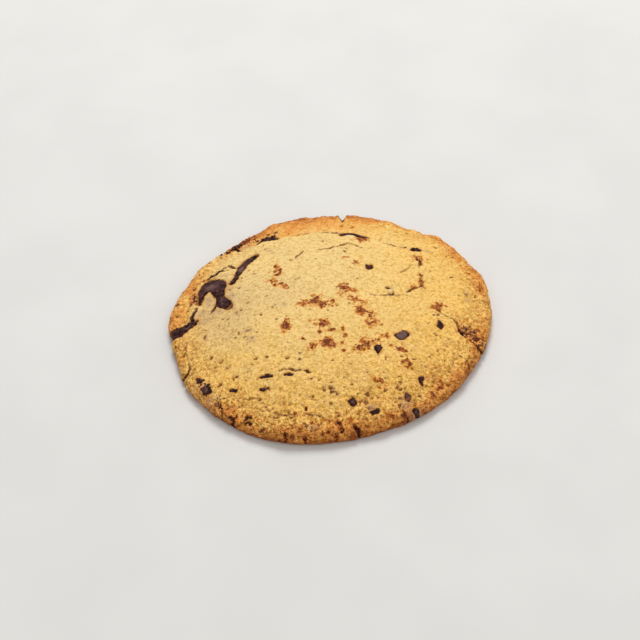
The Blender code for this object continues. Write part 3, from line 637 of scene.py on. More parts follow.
# %% Grain, lumps of the rim, wrinkles and pores
EDGE_SHAKE = 0.36
BASE_BAND = 1.2
PORE_DEPTH, CREVICE_DEPTH, CREVICE_HALF_WIDTH = 0.45, 0.60, 0.15


def rough(*layers):
    """Sum of noises over the dough, each given by its height, size, seed and number of layers."""
    return sum(height * layered_noise(smooth_dough, *rest) for height, *rest in layers)


x, y, z = smooth_dough.T
ragged_x, ragged_y = x + rough((EDGE_SHAKE, 1.5, 11, 2)), y + rough((EDGE_SHAKE, 1.5, 21, 2))
share_out = np.hypot(x, y) / rim_radius(np.arctan2(y, x))
front = (1 - y / np.maximum(np.hypot(x, y), 1e-6)) / 2

# Fine grain, the lumps of the rim, and the long dents further in.
grain = rough((0.12, 2.6, 31, 2), (0.12, 0.95, 41, 2))
lumpy = ease((share_out - 0.8) / 0.15) * (0.4 + 0.6 * ease(z / 5))
rim_lumps = rough((0.40, 4.4, 51, 3), (0.15, 1.4, 53, 2)) * lumpy
dents = rough((0.26, 7.5, 55, 2)) * ease((share_out - 0.3) / 0.4) * (0.35 + 0.65 * front)
# Crevices lie where a noise passes through zero, and wrinkles are rings about the middle.
crevices = np.clip(1 - np.abs(rough((1, 5.2, 58, 3))) / CREVICE_HALF_WIDTH, 0, 1)
crevices = crevices * ease((share_out - 0.72) / 0.2) * (0.45 + 0.55 * ease((front - 0.30) / 0.4))
crevices *= ease(1.5 * noise(smooth_dough, 6.0, 59) + 0.6)
wrinkle_run = np.hypot(x, y + 6) / 3.6 + 0.7 * noise(smooth_dough, 8, 61)
wrinkles = 0.12 * np.sin(math.tau * wrinkle_run)
wrinkles = wrinkles * ease((share_out - 0.55) / 0.2) * ease((front - 0.6) / 0.3)
# Pores are the peaks of a fine noise, and there are more of them where the crust is rough.
rough_place = 0.12 + 0.53 * ease((share_out - 0.35) / 0.5) * (0.25 + 0.75 * front)
pores = np.clip(rough((1, 1.15, 68, 2)) - 1.05 + rough_place, 0, 0.5) * 2
relief = (0.35 + 1.4 * rough_place) * grain + rim_lumps + dents + wrinkles
relief = relief - PORE_DEPTH * pores - CREVICE_DEPTH * crevices
print("grain up to", round(float(np.abs(grain).max()), 2), "mm")
print("pores over", round(100 * float((pores > 0).mean())), "% of the points")

# %% [markdown]
# A crack is told by two values: how far a point lies inside its edge, and how deep it is there. The
# first stays smooth across the edge, so the material can cut it finely although the grid is coarser
# than a hair crack. Shallow cracks are broken up by noise, and only those deep enough to be notches
# run on down the side of the rim. A lip stands up a little beside each crack. Chips and pockets get
# the same kind of value.

# %% Cracks and the edges of chocolate
FAR_OUTSIDE = -3.0
NOTCH_DEPTH = 1.35
BROKEN_UNDER, WIDEST = 0.9, 1.7
SIDE_TOP, SIDE_BAND = 2.8, 1.6
LIP_HEIGHT, LIP_PLACE, LIP_WIDTH = 0.16, -0.4, 0.45


def outline_radius(turn, radii):
    """Radius of a chip in each direction, eased between the eight radii given for every 45 degrees."""
    at = np.asarray(turn) / (math.tau / 8) % 8
    low = np.floor(at).astype(int) % 8
    part = ease(at - np.floor(at))
    return np.array(radii)[low] * (1 - part) + np.array(radii)[(low + 1) % 8] * part


crack_edge, pocket_edge, bed_edge = (np.full(len(x), FAR_OUTSIDE) for _ in range(3))
crack_depth, depth_here, lips = (np.zeros(len(x)) for _ in range(3))
broken = 1 + 1.1 * layered_noise(smooth_dough, 1.9, 75, 2)
for run in crack_runs:
    distance, (width, depth) = nearest_on_run(ragged_x, ragged_y, run)
    width = width * np.clip(np.where(depth < BROKEN_UNDER, broken, 1), 0, WIDEST)
    inside = width / 2 - distance
    if run[:, 3].max() < NOTCH_DEPTH:
        inside = inside - 2 * (1 - ease((z - SIDE_TOP) / SIDE_BAND))
        distance = width / 2 - inside
    depth_here = np.where(inside > crack_edge, depth, depth_here)
    crack_edge = np.maximum(crack_edge, inside)
    reach = distance / (width / 2 + 0.1)
    crack_depth = np.maximum(crack_depth, depth * np.clip(1 - reach**1.4, 0, 1))
    lip = LIP_HEIGHT * np.minimum(1, depth) * bell(inside, LIP_PLACE, LIP_WIDTH)
    lips = np.maximum(lips, lip)

for run in CHOCOLATE.values():
    distance, (width,) = nearest_on_run(ragged_x, ragged_y, eased_run(run))
    pocket_edge = np.maximum(pocket_edge, width / 2 + POCKET_MARGIN - distance)
for at_x, at_y, radii, _ in CHIPS:
    direction = np.arctan2(ragged_y - at_y, ragged_x - at_x)
    inside = outline_radius(direction, radii) + BED_MARGIN - np.hypot(ragged_x - at_x, ragged_y - at_y)
    bed_edge = np.maximum(bed_edge, inside)
print("deepest crack", round(float(crack_depth.max()), 2), "mm")

# %% [markdown]
# Pits, caramel, flour and the open crack at the right come last. Then everything is added up, and the
# points are moved. Nothing is moved at the base, which stays flat on the floor.

# %% Pits, crumbly places and the whole relief
CARAMEL_GROWTH = 1.45
PIT_DEPTH, FLOUR_HEIGHT = 0.55, 0.2

pits = ease(2.2 * spot_field(ragged_x, ragged_y, PITS))
caramel = spot_field(x, y, CARAMEL, CARAMEL_GROWTH)
smudge = spot_field(x, y, SMUDGES)
floury = spot_field(x, y, FLOURY)
crumbly = ease(2 * spot_field(x, y, [(*CRUMB_PLACE, 1)]))
knobs = 0.55 * crumbly * layered_noise(smooth_dough, 1.2, 71, 2)
caramel_knobs = 0.26 * np.clip(2 * caramel, 0, 1) * layered_noise(smooth_dough, 0.9, 81, 2)

relief += lips + knobs + caramel_knobs + FLOUR_HEIGHT * np.clip(2 * floury, 0, 1)
relief -= (
    crack_depth
    + POCKET_DEPTH * ease((pocket_edge + 0.1) / 0.45)
    + BED_DEPTH * ease((bed_edge + 0.1) / 0.4)
)
relief -= PIT_DEPTH * pits
relief *= ease(z / BASE_BAND)
move_points(dough, smooth_dough + relief[:, None] * normals)
print("relief from", round(float(relief.min()), 2), "to", round(float(relief.max()), 2), "mm")

# %% [markdown]
# The oven colours the crust by place: palest behind the middle, where it stood thick and moist, golden
# further out, orange over the fold, and brown low on the front of the rim. Two places at the back
# left were spared. These are values on the points, and the material turns them into colour and
# breaks them up with its own patterns. The marks of the crust end where the flat base starts.

# %% Where the oven browned it
PALEST = (-12, 18)
BASE_NORMAL, BASE_TURN = -0.98, 0.2
above_base = ease((normals[:, 2] - BASE_NORMAL) / BASE_TURN)

beyond, _, fold_strength = fold_place(x, y)
patches = layered_noise(smooth_dough, 11, 91, 3)
rim = ease((share_out - 0.74) / 0.24)
bearing = np.degrees(np.arctan2(y, x)) % 360
fold_tint = fold_strength * ease((bearing - 50) / 35)
over_the_front = ease((front - 0.55) / 0.35)
spared = 0.85 * bell(bearing, 140, 13) + 0.35 * bell(bearing, 168, 14)
spared = 1 - spared * ease((1.02 - share_out) / 0.06) * above_base

# Golden by the distance from the palest place, and more at the left front, the rim and the fold.
golden = 0.08 + 0.85 * np.clip((np.hypot(x - PALEST[0], y - PALEST[1]) - 16) / 42, 0, 1)
golden += 0.25 * ease((-x - 25) / 20) * ease((10 - y) / 25) + 0.10 * patches
golden += spared * (0.35 * rim + 0.45 * fold_tint * ease((beyond - 0.2) / 1.0))

# Browned at the edge and low on the rim, most at the front, then over the fold and at the back.
browned = ease((share_out - 0.90) / 0.10) * (0.26 + 0.22 * over_the_front)
browned = browned + 0.52 * ease((3.2 - z) / 2.8)
browned += 0.16 * over_the_front * ease((share_out - 0.6) / 0.3) + 0.14 * patches * rim
browned += 0.32 * fold_tint * ease((beyond - 0.3) / 1.6)
behind = (0.26 + 0.12 * ease(x / 40)) * rim * (1 - front)
browned += behind * (1 - 0.6 * bell(bearing, 52, 18))
browned = browned * spared * (1 - 0.45 * bell(bearing, 218, 20) * ease((z - 1.5) / 2))

# Duller round the chocolate at the left, partly a greyer tint and partly painted shade, and speckled
# towards the rim and the front.
dull_and_shade = ease(1.2 * spot_field(x, y, [(-33, 0, 26, 17, 65, 1.0), (-18, 4, 16, 13, 0, 0.6)]))
speckled = 0.14 + 0.46 * front * ease(share_out / 0.75) + (0.42 + 0.16 * (1 - front)) * rim
broken_open = [(*CRUMB_PLACE, 1.0), (47.6, -14.6, 3.6, 1.6, -38, 1.0)]
for name, values in {
    "golden": np.clip(golden, 0, 1.2),
    "browned": np.clip(browned, 0, 1.1),
    "speckled": np.clip(speckled, 0, 1),
    "depth": depth_here,
}.items():
    paint(dough, name, values)
for name, field, least in (
    # The crack and bed values also set painted shade in open cracks and in the gaps round the
    # chocolate.
    ("crack", crack_edge, FAR_OUTSIDE),
    ("bed", np.maximum(bed_edge, pocket_edge), FAR_OUTSIDE),
    # This value sets painted shade in pores, crevices and pits.
    ("pore_shade", np.maximum(np.maximum(pores, 0.8 * crevices), pits), 0),
    # This value sets a duller tone at the left that is partly painted shade.
    ("dull_and_shade", dull_and_shade, 0),
    ("caramel", caramel, -1),
    ("smudge", smudge, -1),
    ("floury", floury, -1),
    # This value sets painted shade in the gaps of the open crumb.
    ("broken_open", spot_field(ragged_x, ragged_y, broken_open), -1),
):
    paint(dough, name, least + (field - least) * above_base)
print("browned from", round(float(browned.min()), 2), "to", round(float(browned.max()), 2))
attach(dough, "root")
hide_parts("dough")

# %% [markdown]
# A long piece of chocolate is a ribbon: a rounded section carried along the run. Its width follows
# the run's own widths, and its sides waver as melted edges do. Its top bulges a little, and its
# underside is sunk in the dough. The section is a squashed circle: across by the cosine, up by the
# sine, and the whole lies a little low in its pocket.

# %% Ribbons of melted chocolate
RIBBON_SIDES = 40
RIBBON_RISE, RIBBON_SINK, RIBBON_LOW = 0.32, 1.4, 0.28
RIBBON_END = 6
RIPPLE_HEIGHT = 0.10


def ribbon(name, run, seed):
    """Centre plus side times half width times cosine, at crust height plus rise or sink times sine."""
    spine = eased_run(run, 4)
    step = np.gradient(spine[:, :2], axis=0)
    step /= np.linalg.norm(step, axis=1)[:, None]
    side = np.stack([-step[:, 1], step[:, 0]], axis=1)[:, None, :]
    from_end = np.minimum(np.arange(len(spine)), np.arange(len(spine))[::-1])
    ends = np.sqrt(np.clip(from_end / RIBBON_END, 0, 1))[:, None]
    turn = np.linspace(0, math.tau, RIBBON_SIDES, endpoint=False)
    half = spine[:, 2:3] / 2 * ends
    plan = spine[:, None, :2] + side * (half * np.cos(turn))[..., None]
    flat = np.concatenate([plan, np.zeros((*plan.shape[:2], 1))], axis=2).reshape(-1, 3)
    waver = layered_noise(flat, 1.7, seed, 3) + 0.8 * noise(flat, 0.8, seed + 9)
    waver = waver.reshape(plan.shape[:2])
    plan = plan + side * ((0.18 * half + 0.36 * ends) * waver * np.cos(turn))[..., None]
    x, y = plan[..., 0].ravel(), plan[..., 1].ravel()
    top = RIBBON_RISE * np.abs(np.sin(turn)) ** 0.7
    up = np.where(np.sin(turn) > 0, top, RIBBON_SINK * np.sin(turn))
    on_top = np.tile(np.sin(turn) > 0.1, len(spine))
    ripple = RIPPLE_HEIGHT * layered_noise(flat, 1.6, seed + 5, 2) * on_top
    z = top_height(x, y) - RIBBON_LOW + (ends * up).ravel() + ripple
    points = np.stack([x, y, z], axis=1)
    grid = np.arange(len(points)).reshape(len(spine), RIBBON_SIDES)
    faces = np.vstack([quads(near, far) for near, far in zip(grid, grid[1:])])
    return surface(name, points, faces, grid[:1], grid[-1:, ::-1])


ribbons = {}
for index, (name, run) in enumerate(CHOCOLATE.items()):
    ribbons[name] = ribbon(name + "_melt", run, 101 + 10 * index)
    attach(ribbons[name], "root")
    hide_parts(name)

# %% [markdown]
# A chip shows only its top: a flat irregular blot, a rounded edge, and a side that runs down into
# the bed. Its outline is told by eight radii, one for every 45 degrees, so that each chip has the
# corners of the real one. The section is a list of shares of that radius, and heights in shares of
# the chip's rise. Chips and crumbs are both closed by rings between two poles.

# %% Chips in their beds
CHIP_SIDES = 40
CHIP_SECTION = (
    (0.2, 1.0), (0.4, 0.96), (0.6, 0.86), (0.78, 0.66), (0.92, 0.34), (1.0, -0.1), (1.0, -0.8),
    (0.8, -2.4),
)
CHIP_RISE, CHIP_LOW = 0.40, 0.26
CHIP_UNEVEN_OUT, CHIP_UNEVEN_UP = 0.26, 0.30
CHIP_APART = 9.7


def capped(rings, top, under):
    """Points, quads and triangles of a body of rings from the top down, with a pole at each end."""
    count = rings.shape[1]
    body = rings.reshape(-1, 3)
    grid = np.arange(len(body)).reshape(-1, count)
    sides = np.vstack([quads(upper, lower) for upper, lower in zip(grid, grid[1:])])
    fans = []
    for pole, ring in ((len(body), grid[0]), (len(body) + 1, grid[-1, ::-1])):
        fans.append(np.stack([np.full(count, pole), ring, np.roll(ring, -1)], axis=1))
    return np.vstack([body, [[0, 0, top], [0, 0, under]]]), sides, np.vstack(fans)


def chip(at_x, at_y, radii, seed):
    """The closed body of one chip, made uneven by noise and set on the crust at its place."""
    turn = np.linspace(0, math.tau, CHIP_SIDES, endpoint=False)
    share, height = np.array(CHIP_SECTION).T[:, :, None]
    plan = share * outline_radius(turn, radii)
    rings = np.stack([plan * np.cos(turn), plan * np.sin(turn), height + 0 * turn], axis=-1)
    points, sides, caps = capped(rings, CHIP_SECTION[0][1], CHIP_SECTION[-1][1])
    apart = points + CHIP_APART * seed
    uneven = layered_noise(apart, 0.9, seed, 2) + 0.6 * noise(apart, 0.45, seed + 1)
    points[:, :2] *= 1 + CHIP_UNEVEN_OUT * uneven[:, None]
    points[:, 2] = CHIP_RISE * points[:, 2] + CHIP_UNEVEN_UP * uneven - CHIP_LOW
    points[:, :2] += (at_x, at_y)
    points[:, 2] += top_height(points[:, 0], points[:, 1])
    return points, sides, caps


def joined(name, bodies):
    """One mesh of many closed bodies, each given as its points, its quads and its triangles."""
    starts = np.cumsum([0] + [len(points) for points, _, _ in bodies])
    points = np.vstack([points for points, _, _ in bodies])
    fours = np.vstack([sides + start for (_, sides, _), start in zip(bodies, starts)])
    threes = np.vstack([caps + start for (_, _, caps), start in zip(bodies, starts)])
    return surface(name, points, fours, threes)


chip_bodies = [chip(*place, 200 + number) for number, (*place, _) in enumerate(CHIPS)]
chips = joined("chocolate_chips", chip_bodies)
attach(chips, "root")

# %% [markdown]
# Where the crack from the right runs into the rim, the dough broke open and shows its crumb:
# knobbly caramelised bits with dark gaps between them. Burnt bits of chocolate lie at the left rim
# and on the edge at the back left. Each bit is a small rounded box: cosines and sines raised to a
# low power push a ball out towards its corners. The bits are scattered by a seeded draw, patch
# after patch, and a bit that would hang over the rim is left out.

# %% Crumbs
CRUMB_SIDES, CRUMB_RINGS = 12, 7
CRUMB_UNEVEN, CRUMB_APART = 0.22, 7.3
CRUMB_MARGIN = 0.7
CRUMB_DRAW = np.random.default_rng(5)
# Each patch: its place, how many bits it has, their least and largest size, how far they rise over
# the crust, and a seed.
BAKED_PATCHES = (
    (CRUMB_PLACE, 120, (0.28, 0.62), -0.1, 300),
    ((-45.4, 10.4, 1.2, 3.2, 0), 22, (0.25, 0.5), -0.1, 1000),
    ((31.4, 19.6, 0.9, 2.2, 0), 10, (0.25, 0.4), -0.2, 1100),
    ((-27.4, 37.6, 4.2, 0.9, 24), 20, (0.25, 0.5), -0.1, 1200),
)
BURNT_PATCHES = (
    ((-50.0, -2.4, 2.6, 1.3, 20), 26, (0.3, 0.6), 0.15, 500),
    ((-20.8, 38.6, 3.4, 0.8, 8), 22, (0.25, 0.5), 0.0, 600),
    ((-31.2, 36.9, 7.0, 0.9, 36), 34, (0.25, 0.45), -0.1, 1300),
    ((-45.6, 1.2, 0.7, 2.6, 10), 14, (0.25, 0.45), -0.25, 700),
    ((-48.6, -2.6, 4.2, 1.7, 14), 34, (0.3, 0.6), 0.0, 800),
    ((-41.8, -28.6, 4.6, 1.7, -64), 40, (0.25, 0.5), -0.12, 900),
    ((-36.9, -36.2, 2.6, 0.7, -80), 12, (0.2, 0.4), -0.15, 1400),
    ((-37.2, 21.4, 4.2, 0.6, 42), 16, (0.2, 0.4), -0.12, 1500),
)


def blunt(wave, power=0.75):
    """A sine or cosine raised to a power with its sign kept."""
    return np.sign(wave) * np.abs(wave) ** power


def bit(at_x, at_y, rise, half_sizes, turn, seed):
    """The closed body of one rounded box, made uneven by noise, turned, and set on the crust."""
    around = np.linspace(0, math.tau, CRUMB_SIDES, endpoint=False)
    tilt = np.linspace(math.pi / 2, -math.pi / 2, CRUMB_RINGS)[1:-1, None]
    ring_x, ring_y = (blunt(np.cos(tilt)) * blunt(wave(around)) for wave in (np.cos, np.sin))
    rings = np.stack([ring_x, ring_y, blunt(np.sin(tilt)) + 0 * around], axis=-1)
    points, sides, caps = capped(rings, 1, -1)
    uneven = CRUMB_UNEVEN * noise(points + CRUMB_APART * seed, 0.8, seed)
    points = points * (1 + uneven)[:, None] * half_sizes
    cosine, sine = math.cos(turn), math.sin(turn)
    points = points @ np.array([[cosine, sine, 0], [-sine, cosine, 0], [0, 0, 1]])
    ground = top_height(np.array([at_x]), np.array([at_y]))[0]
    return points + (at_x, at_y, ground + rise), sides, caps


def scattered(place, count, sizes, rise, seed):
    """Bits drawn evenly over a turned ellipse, with sizes drawn between two limits."""
    centre_x, centre_y, half_long, half_wide, turn = place
    reach = np.sqrt(CRUMB_DRAW.uniform(0, 1, count))
    around = CRUMB_DRAW.uniform(0, math.tau, count)
    long, wide = half_long * reach * np.cos(around), half_wide * reach * np.sin(around)
    cosine, sine = math.cos(math.radians(turn)), math.sin(math.radians(turn))
    across, along = centre_x + long * cosine - wide * sine, centre_y + long * sine + wide * cosine
    bits = []
    for number, size in enumerate(CRUMB_DRAW.uniform(*sizes, count)):
        at_x, at_y = across[number], along[number]
        half_sizes = size * CRUMB_DRAW.uniform(0.7, 1.2, 3)
        turned_by = CRUMB_DRAW.uniform(0, math.tau)
        if math.hypot(at_x, at_y) < rim_radius(math.atan2(at_y, at_x)) - CRUMB_MARGIN:
            bits.append(bit(at_x, at_y, rise, half_sizes, turned_by, seed + number))
    return bits


crumb, burnt = (
    joined(name, [body for patch in patches for body in scattered(*patch)])
    for name, patches in (("baked_crumb", BAKED_PATCHES), ("burnt_crumb", BURNT_PATCHES))
)
for piece, slot in ((crumb, "baked_dough"), (burnt, "dark_chocolate")):
    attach(piece, "root")

# %% [markdown]
# Materials are small graphs of nodes. Short helpers keep them readable: one adds a node and fills its
# sockets, and the others use it to do a sum, to ease a value between two limits, to blend colours, to
# lay colours over one another, and to fetch noise or what was stored on the points.

# %% Helpers for node graphs
def add(tree, kind, sockets=None, **settings):
    """A new node with these settings, and with its sockets joined to others or set to values."""
    node = tree.nodes.new("ShaderNode" + kind)
    for name, value in settings.items():
        setattr(node, name, value)
    for name, value in (sockets or {}).items():
        if isinstance(value, bpy.types.NodeSocket):
            tree.links.new(value, node.inputs[name])
        else:
            node.inputs[name].default_value = value
    return node


def reckon(tree, operation, first, second=0.0, third=0.0, clamp=False):
    """Result of one sum, such as ADD or MAXIMUM."""
    sockets = {0: first, 1: second, 2: third}
    return add(tree, "Math", sockets, operation=operation, use_clamp=clamp).outputs[0]


def times(tree, first, second, plus=0.0, clamp=False):
    """One value times another, plus a third."""
    return reckon(tree, "MULTIPLY_ADD", first, second, plus, clamp)


def eased(tree, value, low, high, floor=0.0, ceiling=1.0):
    """Value eased from floor to ceiling as it goes from low to high."""
    sockets = {"Value": value, "From Min": low, "From Max": high, "To Min": floor, "To Max": ceiling}
    return add(tree, "MapRange", sockets, interpolation_type="SMOOTHSTEP").outputs["Result"]


def blended(tree, mask, under, over):
    """Colour that goes from one to the other as the mask goes from 0 to 1."""
    return add(tree, "Mix", {0: mask, 6: under, 7: over}, data_type="RGBA").outputs[2]


def laid(tree, colour, *layers):
    """The colour with layers over it, each given by its mask, its strength and its own colour."""
    for mask, strength, over in layers:
        colour = blended(tree, times(tree, mask, strength), colour, over)
    return colour


def grain_of(tree, where, size, detail=2.0):
    """Noise of this size in millimetres, from 0 to 1."""
    sockets = {"Vector": where, "Scale": 1 / (size * MM), "Detail": detail}
    return add(tree, "TexNoise", sockets).outputs["Fac"]


def painted(tree, name):
    """Values that were stored on the points under this name."""
    return add(tree, "Attribute", attribute_name=name, attribute_type="GEOMETRY").outputs["Fac"]


def shade(red, green, blue):
    """Linear colour of a shade given as it shows on a screen, from 0 to 255."""
    values = np.array((red, green, blue)) / 255
    linear = np.where(values <= 0.04045, values / 12.92, ((values + 0.055) / 1.055) ** 2.4)
    return (*linear, 1.0)


# %% [markdown]
# Two effects serve more than one material, so each is a group of nodes, built once.
# The first scatters specks: space is split into cells, each cell is kept or dropped by its own
# random number, and a kept cell shows a small blot round its middle. The second gives a mask a
# ragged edge: noise is added to a painted value, and the sum is cut where the value is zero.

# %% Groups of nodes for specks and ragged edges
SPECK_SHAKE, SPECK_SHAKE_SIZE = 0.9, 0.8
SPECK_SIZES, SPECK_CORE = (0.55, 1.3), 0.55


def new_group(name, inputs, outputs):
    """An empty group with float sockets of these names, and a vector socket called Where."""
    group = bpy.data.node_groups.new(name, "ShaderNodeTree")
    group.interface.new_socket("Where", in_out="INPUT", socket_type="NodeSocketVector")
    for socket in inputs:
        group.interface.new_socket(socket, in_out="INPUT", socket_type="NodeSocketFloat")
    for socket in outputs:
        group.interface.new_socket(socket, in_out="OUTPUT", socket_type="NodeSocketFloat")
    return group, group.nodes.new("NodeGroupInput"), group.nodes.new("NodeGroupOutput")


def speck_group():
    """Cells of space, each kept where its random number is under Share, with a blot of Radius cells."""
    group, given, result = new_group("specks", ("Cells", "Share", "Radius"), ("Mask",))
    where = given.outputs["Where"]
    noise_sockets = {"Vector": where, "Scale": 1 / (SPECK_SHAKE_SIZE * MM), "Detail": 1.0}
    shake = add(group, "TexNoise", noise_sockets).outputs["Color"]
    sockets = {0: shake, 1: (SPECK_SHAKE * MM,) * 3, 2: where}
    shaken = add(group, "VectorMath", sockets, operation="MULTIPLY_ADD").outputs[0]
    sockets = {"Vector": shaken, "Scale": given.outputs["Cells"], "Randomness": 1.0}
    cells = add(group, "TexVoronoi", sockets)
    chance = add(group, "SeparateColor", {"Color": cells.outputs["Color"]})
    kept = reckon(group, "LESS_THAN", chance.outputs["Red"], given.outputs["Share"])
    growth = eased(group, chance.outputs["Green"], 0, 1, *SPECK_SIZES)
    size = times(group, given.outputs["Radius"], growth)
    sockets = {"Value": cells.outputs["Distance"], "From Min": size}
    sockets["From Max"] = times(group, size, SPECK_CORE)
    blot = add(group, "MapRange", sockets).outputs["Result"]
    group.links.new(times(group, kept, blot, clamp=True), result.inputs["Mask"])
    return group


def ragged_group():
    """Field plus Shake times noise of this Grain, cut at zero over a width of Soft."""
    inputs = ("Field", "Grain", "Shake", "Soft")
    group, given, result = new_group("ragged_edge", inputs, ("Mask",))
    where, field, grain, shake, soft = (given.outputs[name] for name in ("Where", *inputs))
    sockets = {"Vector": where, "Scale": grain, "Detail": 2.0}
    centred = reckon(group, "SUBTRACT", add(group, "TexNoise", sockets).outputs["Fac"], 0.5)
    cut = eased(group, times(group, centred, shake, field), times(group, soft, -1.0), soft)
    group.links.new(cut, result.inputs["Mask"])
    return group


SPECKS, RAGGED = speck_group(), ragged_group()


def specks(tree, where, spacing, share, radius):
    """Mask of specks about this many millimetres apart, with this radius in shares of the spacing."""
    sockets = {"Where": where, "Cells": 1 / (spacing * MM), "Share": share, "Radius": radius}
    return add(tree, "Group", sockets, node_tree=SPECKS).outputs["Mask"]


def ragged(tree, where, field, level, size, shake, soft):
    """Mask of where the field is over this level, with an edge made ragged by noise of this size."""
    above = reckon(tree, "SUBTRACT", field, level)
    sockets = {"Where": where, "Field": above, "Grain": 1 / (size * MM), "Shake": shake, "Soft": soft}
    return add(tree, "Group", sockets, node_tree=RAGGED).outputs["Mask"]


def new_material(name, roughness, gloss=0.5):
    """A material with its Principled shader, and the object's own coordinates."""
    material = bpy.data.materials.new(name)
    material.use_nodes = True
    tree = material.node_tree
    shader = tree.nodes["Principled BSDF"]
    shader.inputs["Roughness"].default_value = roughness
    shader.inputs["Specular IOR Level"].default_value = gloss
    where = tree.nodes.new("ShaderNodeTexCoord").outputs["Object"]
    return material, tree, shader, where


def coloured(tree, shader, colour, height=None, strength=1.0, distance=1.0):
    """Joins the colour to the shader, and a bump whose height is in shares of this distance."""
    tree.links.new(colour, shader.inputs["Base Color"])
    if height is not None:
        sockets = {"Height": height, "Strength": strength, "Distance": distance * MM}
        tree.links.new(add(tree, "Bump", sockets).outputs["Normal"], shader.inputs["Normal"])


# %% [markdown]
# The crust's colour is built up as an oven does it: pale dough, then gold, orange and brown, with a
# duller tone at the left that is partly painted shade. Grain like sand, thin streaks, specks, and pores
# with painted shade in them come next, then caramel, the open crumb with painted shade in its gaps,
# smudges of chocolate and flour, and last the painted shade in cracks and beds. Each is laid over the
# one before by a mask, and nearly all masks are ragged or broken up, because nothing on a crust has a
# clean edge.

# %% Baked crust
# The darkest brown serves both burnt specks and painted shade in pores and in the gaps of the open
# crumb, the crack colour is painted shade in cracks and round the chocolate, and the dull colour is
# partly painted shade.
PALE, GOLD, DULL_AND_SHADE = shade(230, 200, 134), shade(239, 193, 106), shade(208, 180, 128)
ORANGE, BROWN, BURNT_AND_SHADE = shade(224, 152, 74), shade(158, 90, 40), shade(86, 36, 18)
TOAST, STIPPLE, SMUDGE = shade(158, 88, 38), shade(84, 54, 42), shade(180, 146, 114)
STAIN, RED, CARAMEL_DARK = shade(212, 142, 64), shade(158, 74, 34), shade(98, 36, 22)
HAIR, CRACK_SHADE, FLOUR = shade(140, 80, 38), shade(68, 24, 16), shade(240, 216, 172)


def baking(tree, speckled, mottle, broad):
    """Pale dough, gold, a duller tone at the left that is partly painted shade, orange and brown, each
    as uneven as the place is speckled.
    """
    browned = painted(tree, "browned")
    uneven = reckon(tree, "SUBTRACT", reckon(tree, "ADD", mottle, broad), 1.0)
    unevenness = times(tree, speckled, 1.1, 0.12)
    gold = times(tree, uneven, unevenness, painted(tree, "golden"), True)
    unevenness = times(tree, unevenness, eased(tree, browned, 0.0, 0.3))
    brown = times(tree, uneven, unevenness, browned, True)
    return laid(
        tree, blended(tree, gold, PALE, GOLD),
        (painted(tree, "dull_and_shade"), 0.6, DULL_AND_SHADE),
        (eased(tree, brown, 0.05, 0.6), 1.0, ORANGE),
        (eased(tree, brown, 0.5, 1.05), 1.0, BROWN),
    )


def caramelised(tree, where, colour):
    """A ragged stain, a red ring round its core, dark grains, and painted shade in the gaps of the open
    crumb.
    """
    caramel = painted(tree, "caramel")
    stain, inner, core = (
        ragged(tree, where, caramel, level, 1.6, 2.4, soft)
        for level, soft in ((0.16, 0.16), (0.42, 0.08), (0.66, 0.10))
    )
    ring = reckon(tree, "SUBTRACT", inner, core, clamp=True)
    red = times(tree, core, 0.55, times(tree, ring, 0.85))
    dots = times(tree, specks(tree, where, 1.25, 0.42, 0.30), stain)
    grains = ragged(tree, where, caramel, 0.70, 0.8, 3.0, 0.12)
    grains = reckon(tree, "MAXIMUM", grains, times(tree, dots, 0.8))
    opened = ragged(tree, where, painted(tree, "broken_open"), 0.15, 0.9, 1.2, 0.15)
    colour = laid(tree, colour, (stain, 0.80, STAIN), (red, 1.0, RED), (grains, 0.88, CARAMEL_DARK))
    # The open crumb's gaps get painted shade.
    return laid(tree, colour, (opened, 0.85, BURNT_AND_SHADE)), grains


def smudged(tree, where, colour):
    """Ragged smudges with a stipple of chocolate, and flour."""
    smudge = painted(tree, "smudge")
    grey = ragged(tree, where, smudge, 0.35, 2.0, 1.4, 0.55)
    dots = times(tree, specks(tree, where, 1.1, 0.60, 0.34), eased(tree, smudge, 0.2, 0.7))
    white = ragged(tree, where, painted(tree, "floury"), 0.35, 0.7, 1.0, 0.2)
    return laid(tree, colour, (grey, 0.60, SMUDGE), (dots, 0.75, STIPPLE), (white, 0.8, FLOUR))


def cracked(tree, where, colour):
    """Brown hair lines, painted shade where they are open and deep, and beds with a rusty edge and
    painted shade in the gap round the chocolate.
    """
    crack, depth, bed = (painted(tree, name) for name in ("crack", "depth", "bed"))
    hair = ragged(tree, where, crack, -0.04, 0.6, 1.1, 0.22)
    open_crack = ragged(tree, where, crack, 0.0, 0.6, 0.8, 0.22)
    rusty = ragged(tree, where, bed, -0.55, 0.8, 1.2, 0.3)
    bedded = ragged(tree, where, bed, 0.0, 0.6, 0.5, 0.2)
    # Open cracks and the gaps round the chocolate get painted shade, the darker the deeper the crack.
    colour = laid(
        tree, colour,
        (hair, eased(tree, depth, 0.05, 0.5, 0.25, 0.9), HAIR),
        (open_crack, eased(tree, depth, 0.4, 1.0, 0.15, 0.92), CRACK_SHADE),
        (rusty, 0.50, STAIN),
        (bedded, 0.80, CRACK_SHADE),
    )
    return colour, open_crack


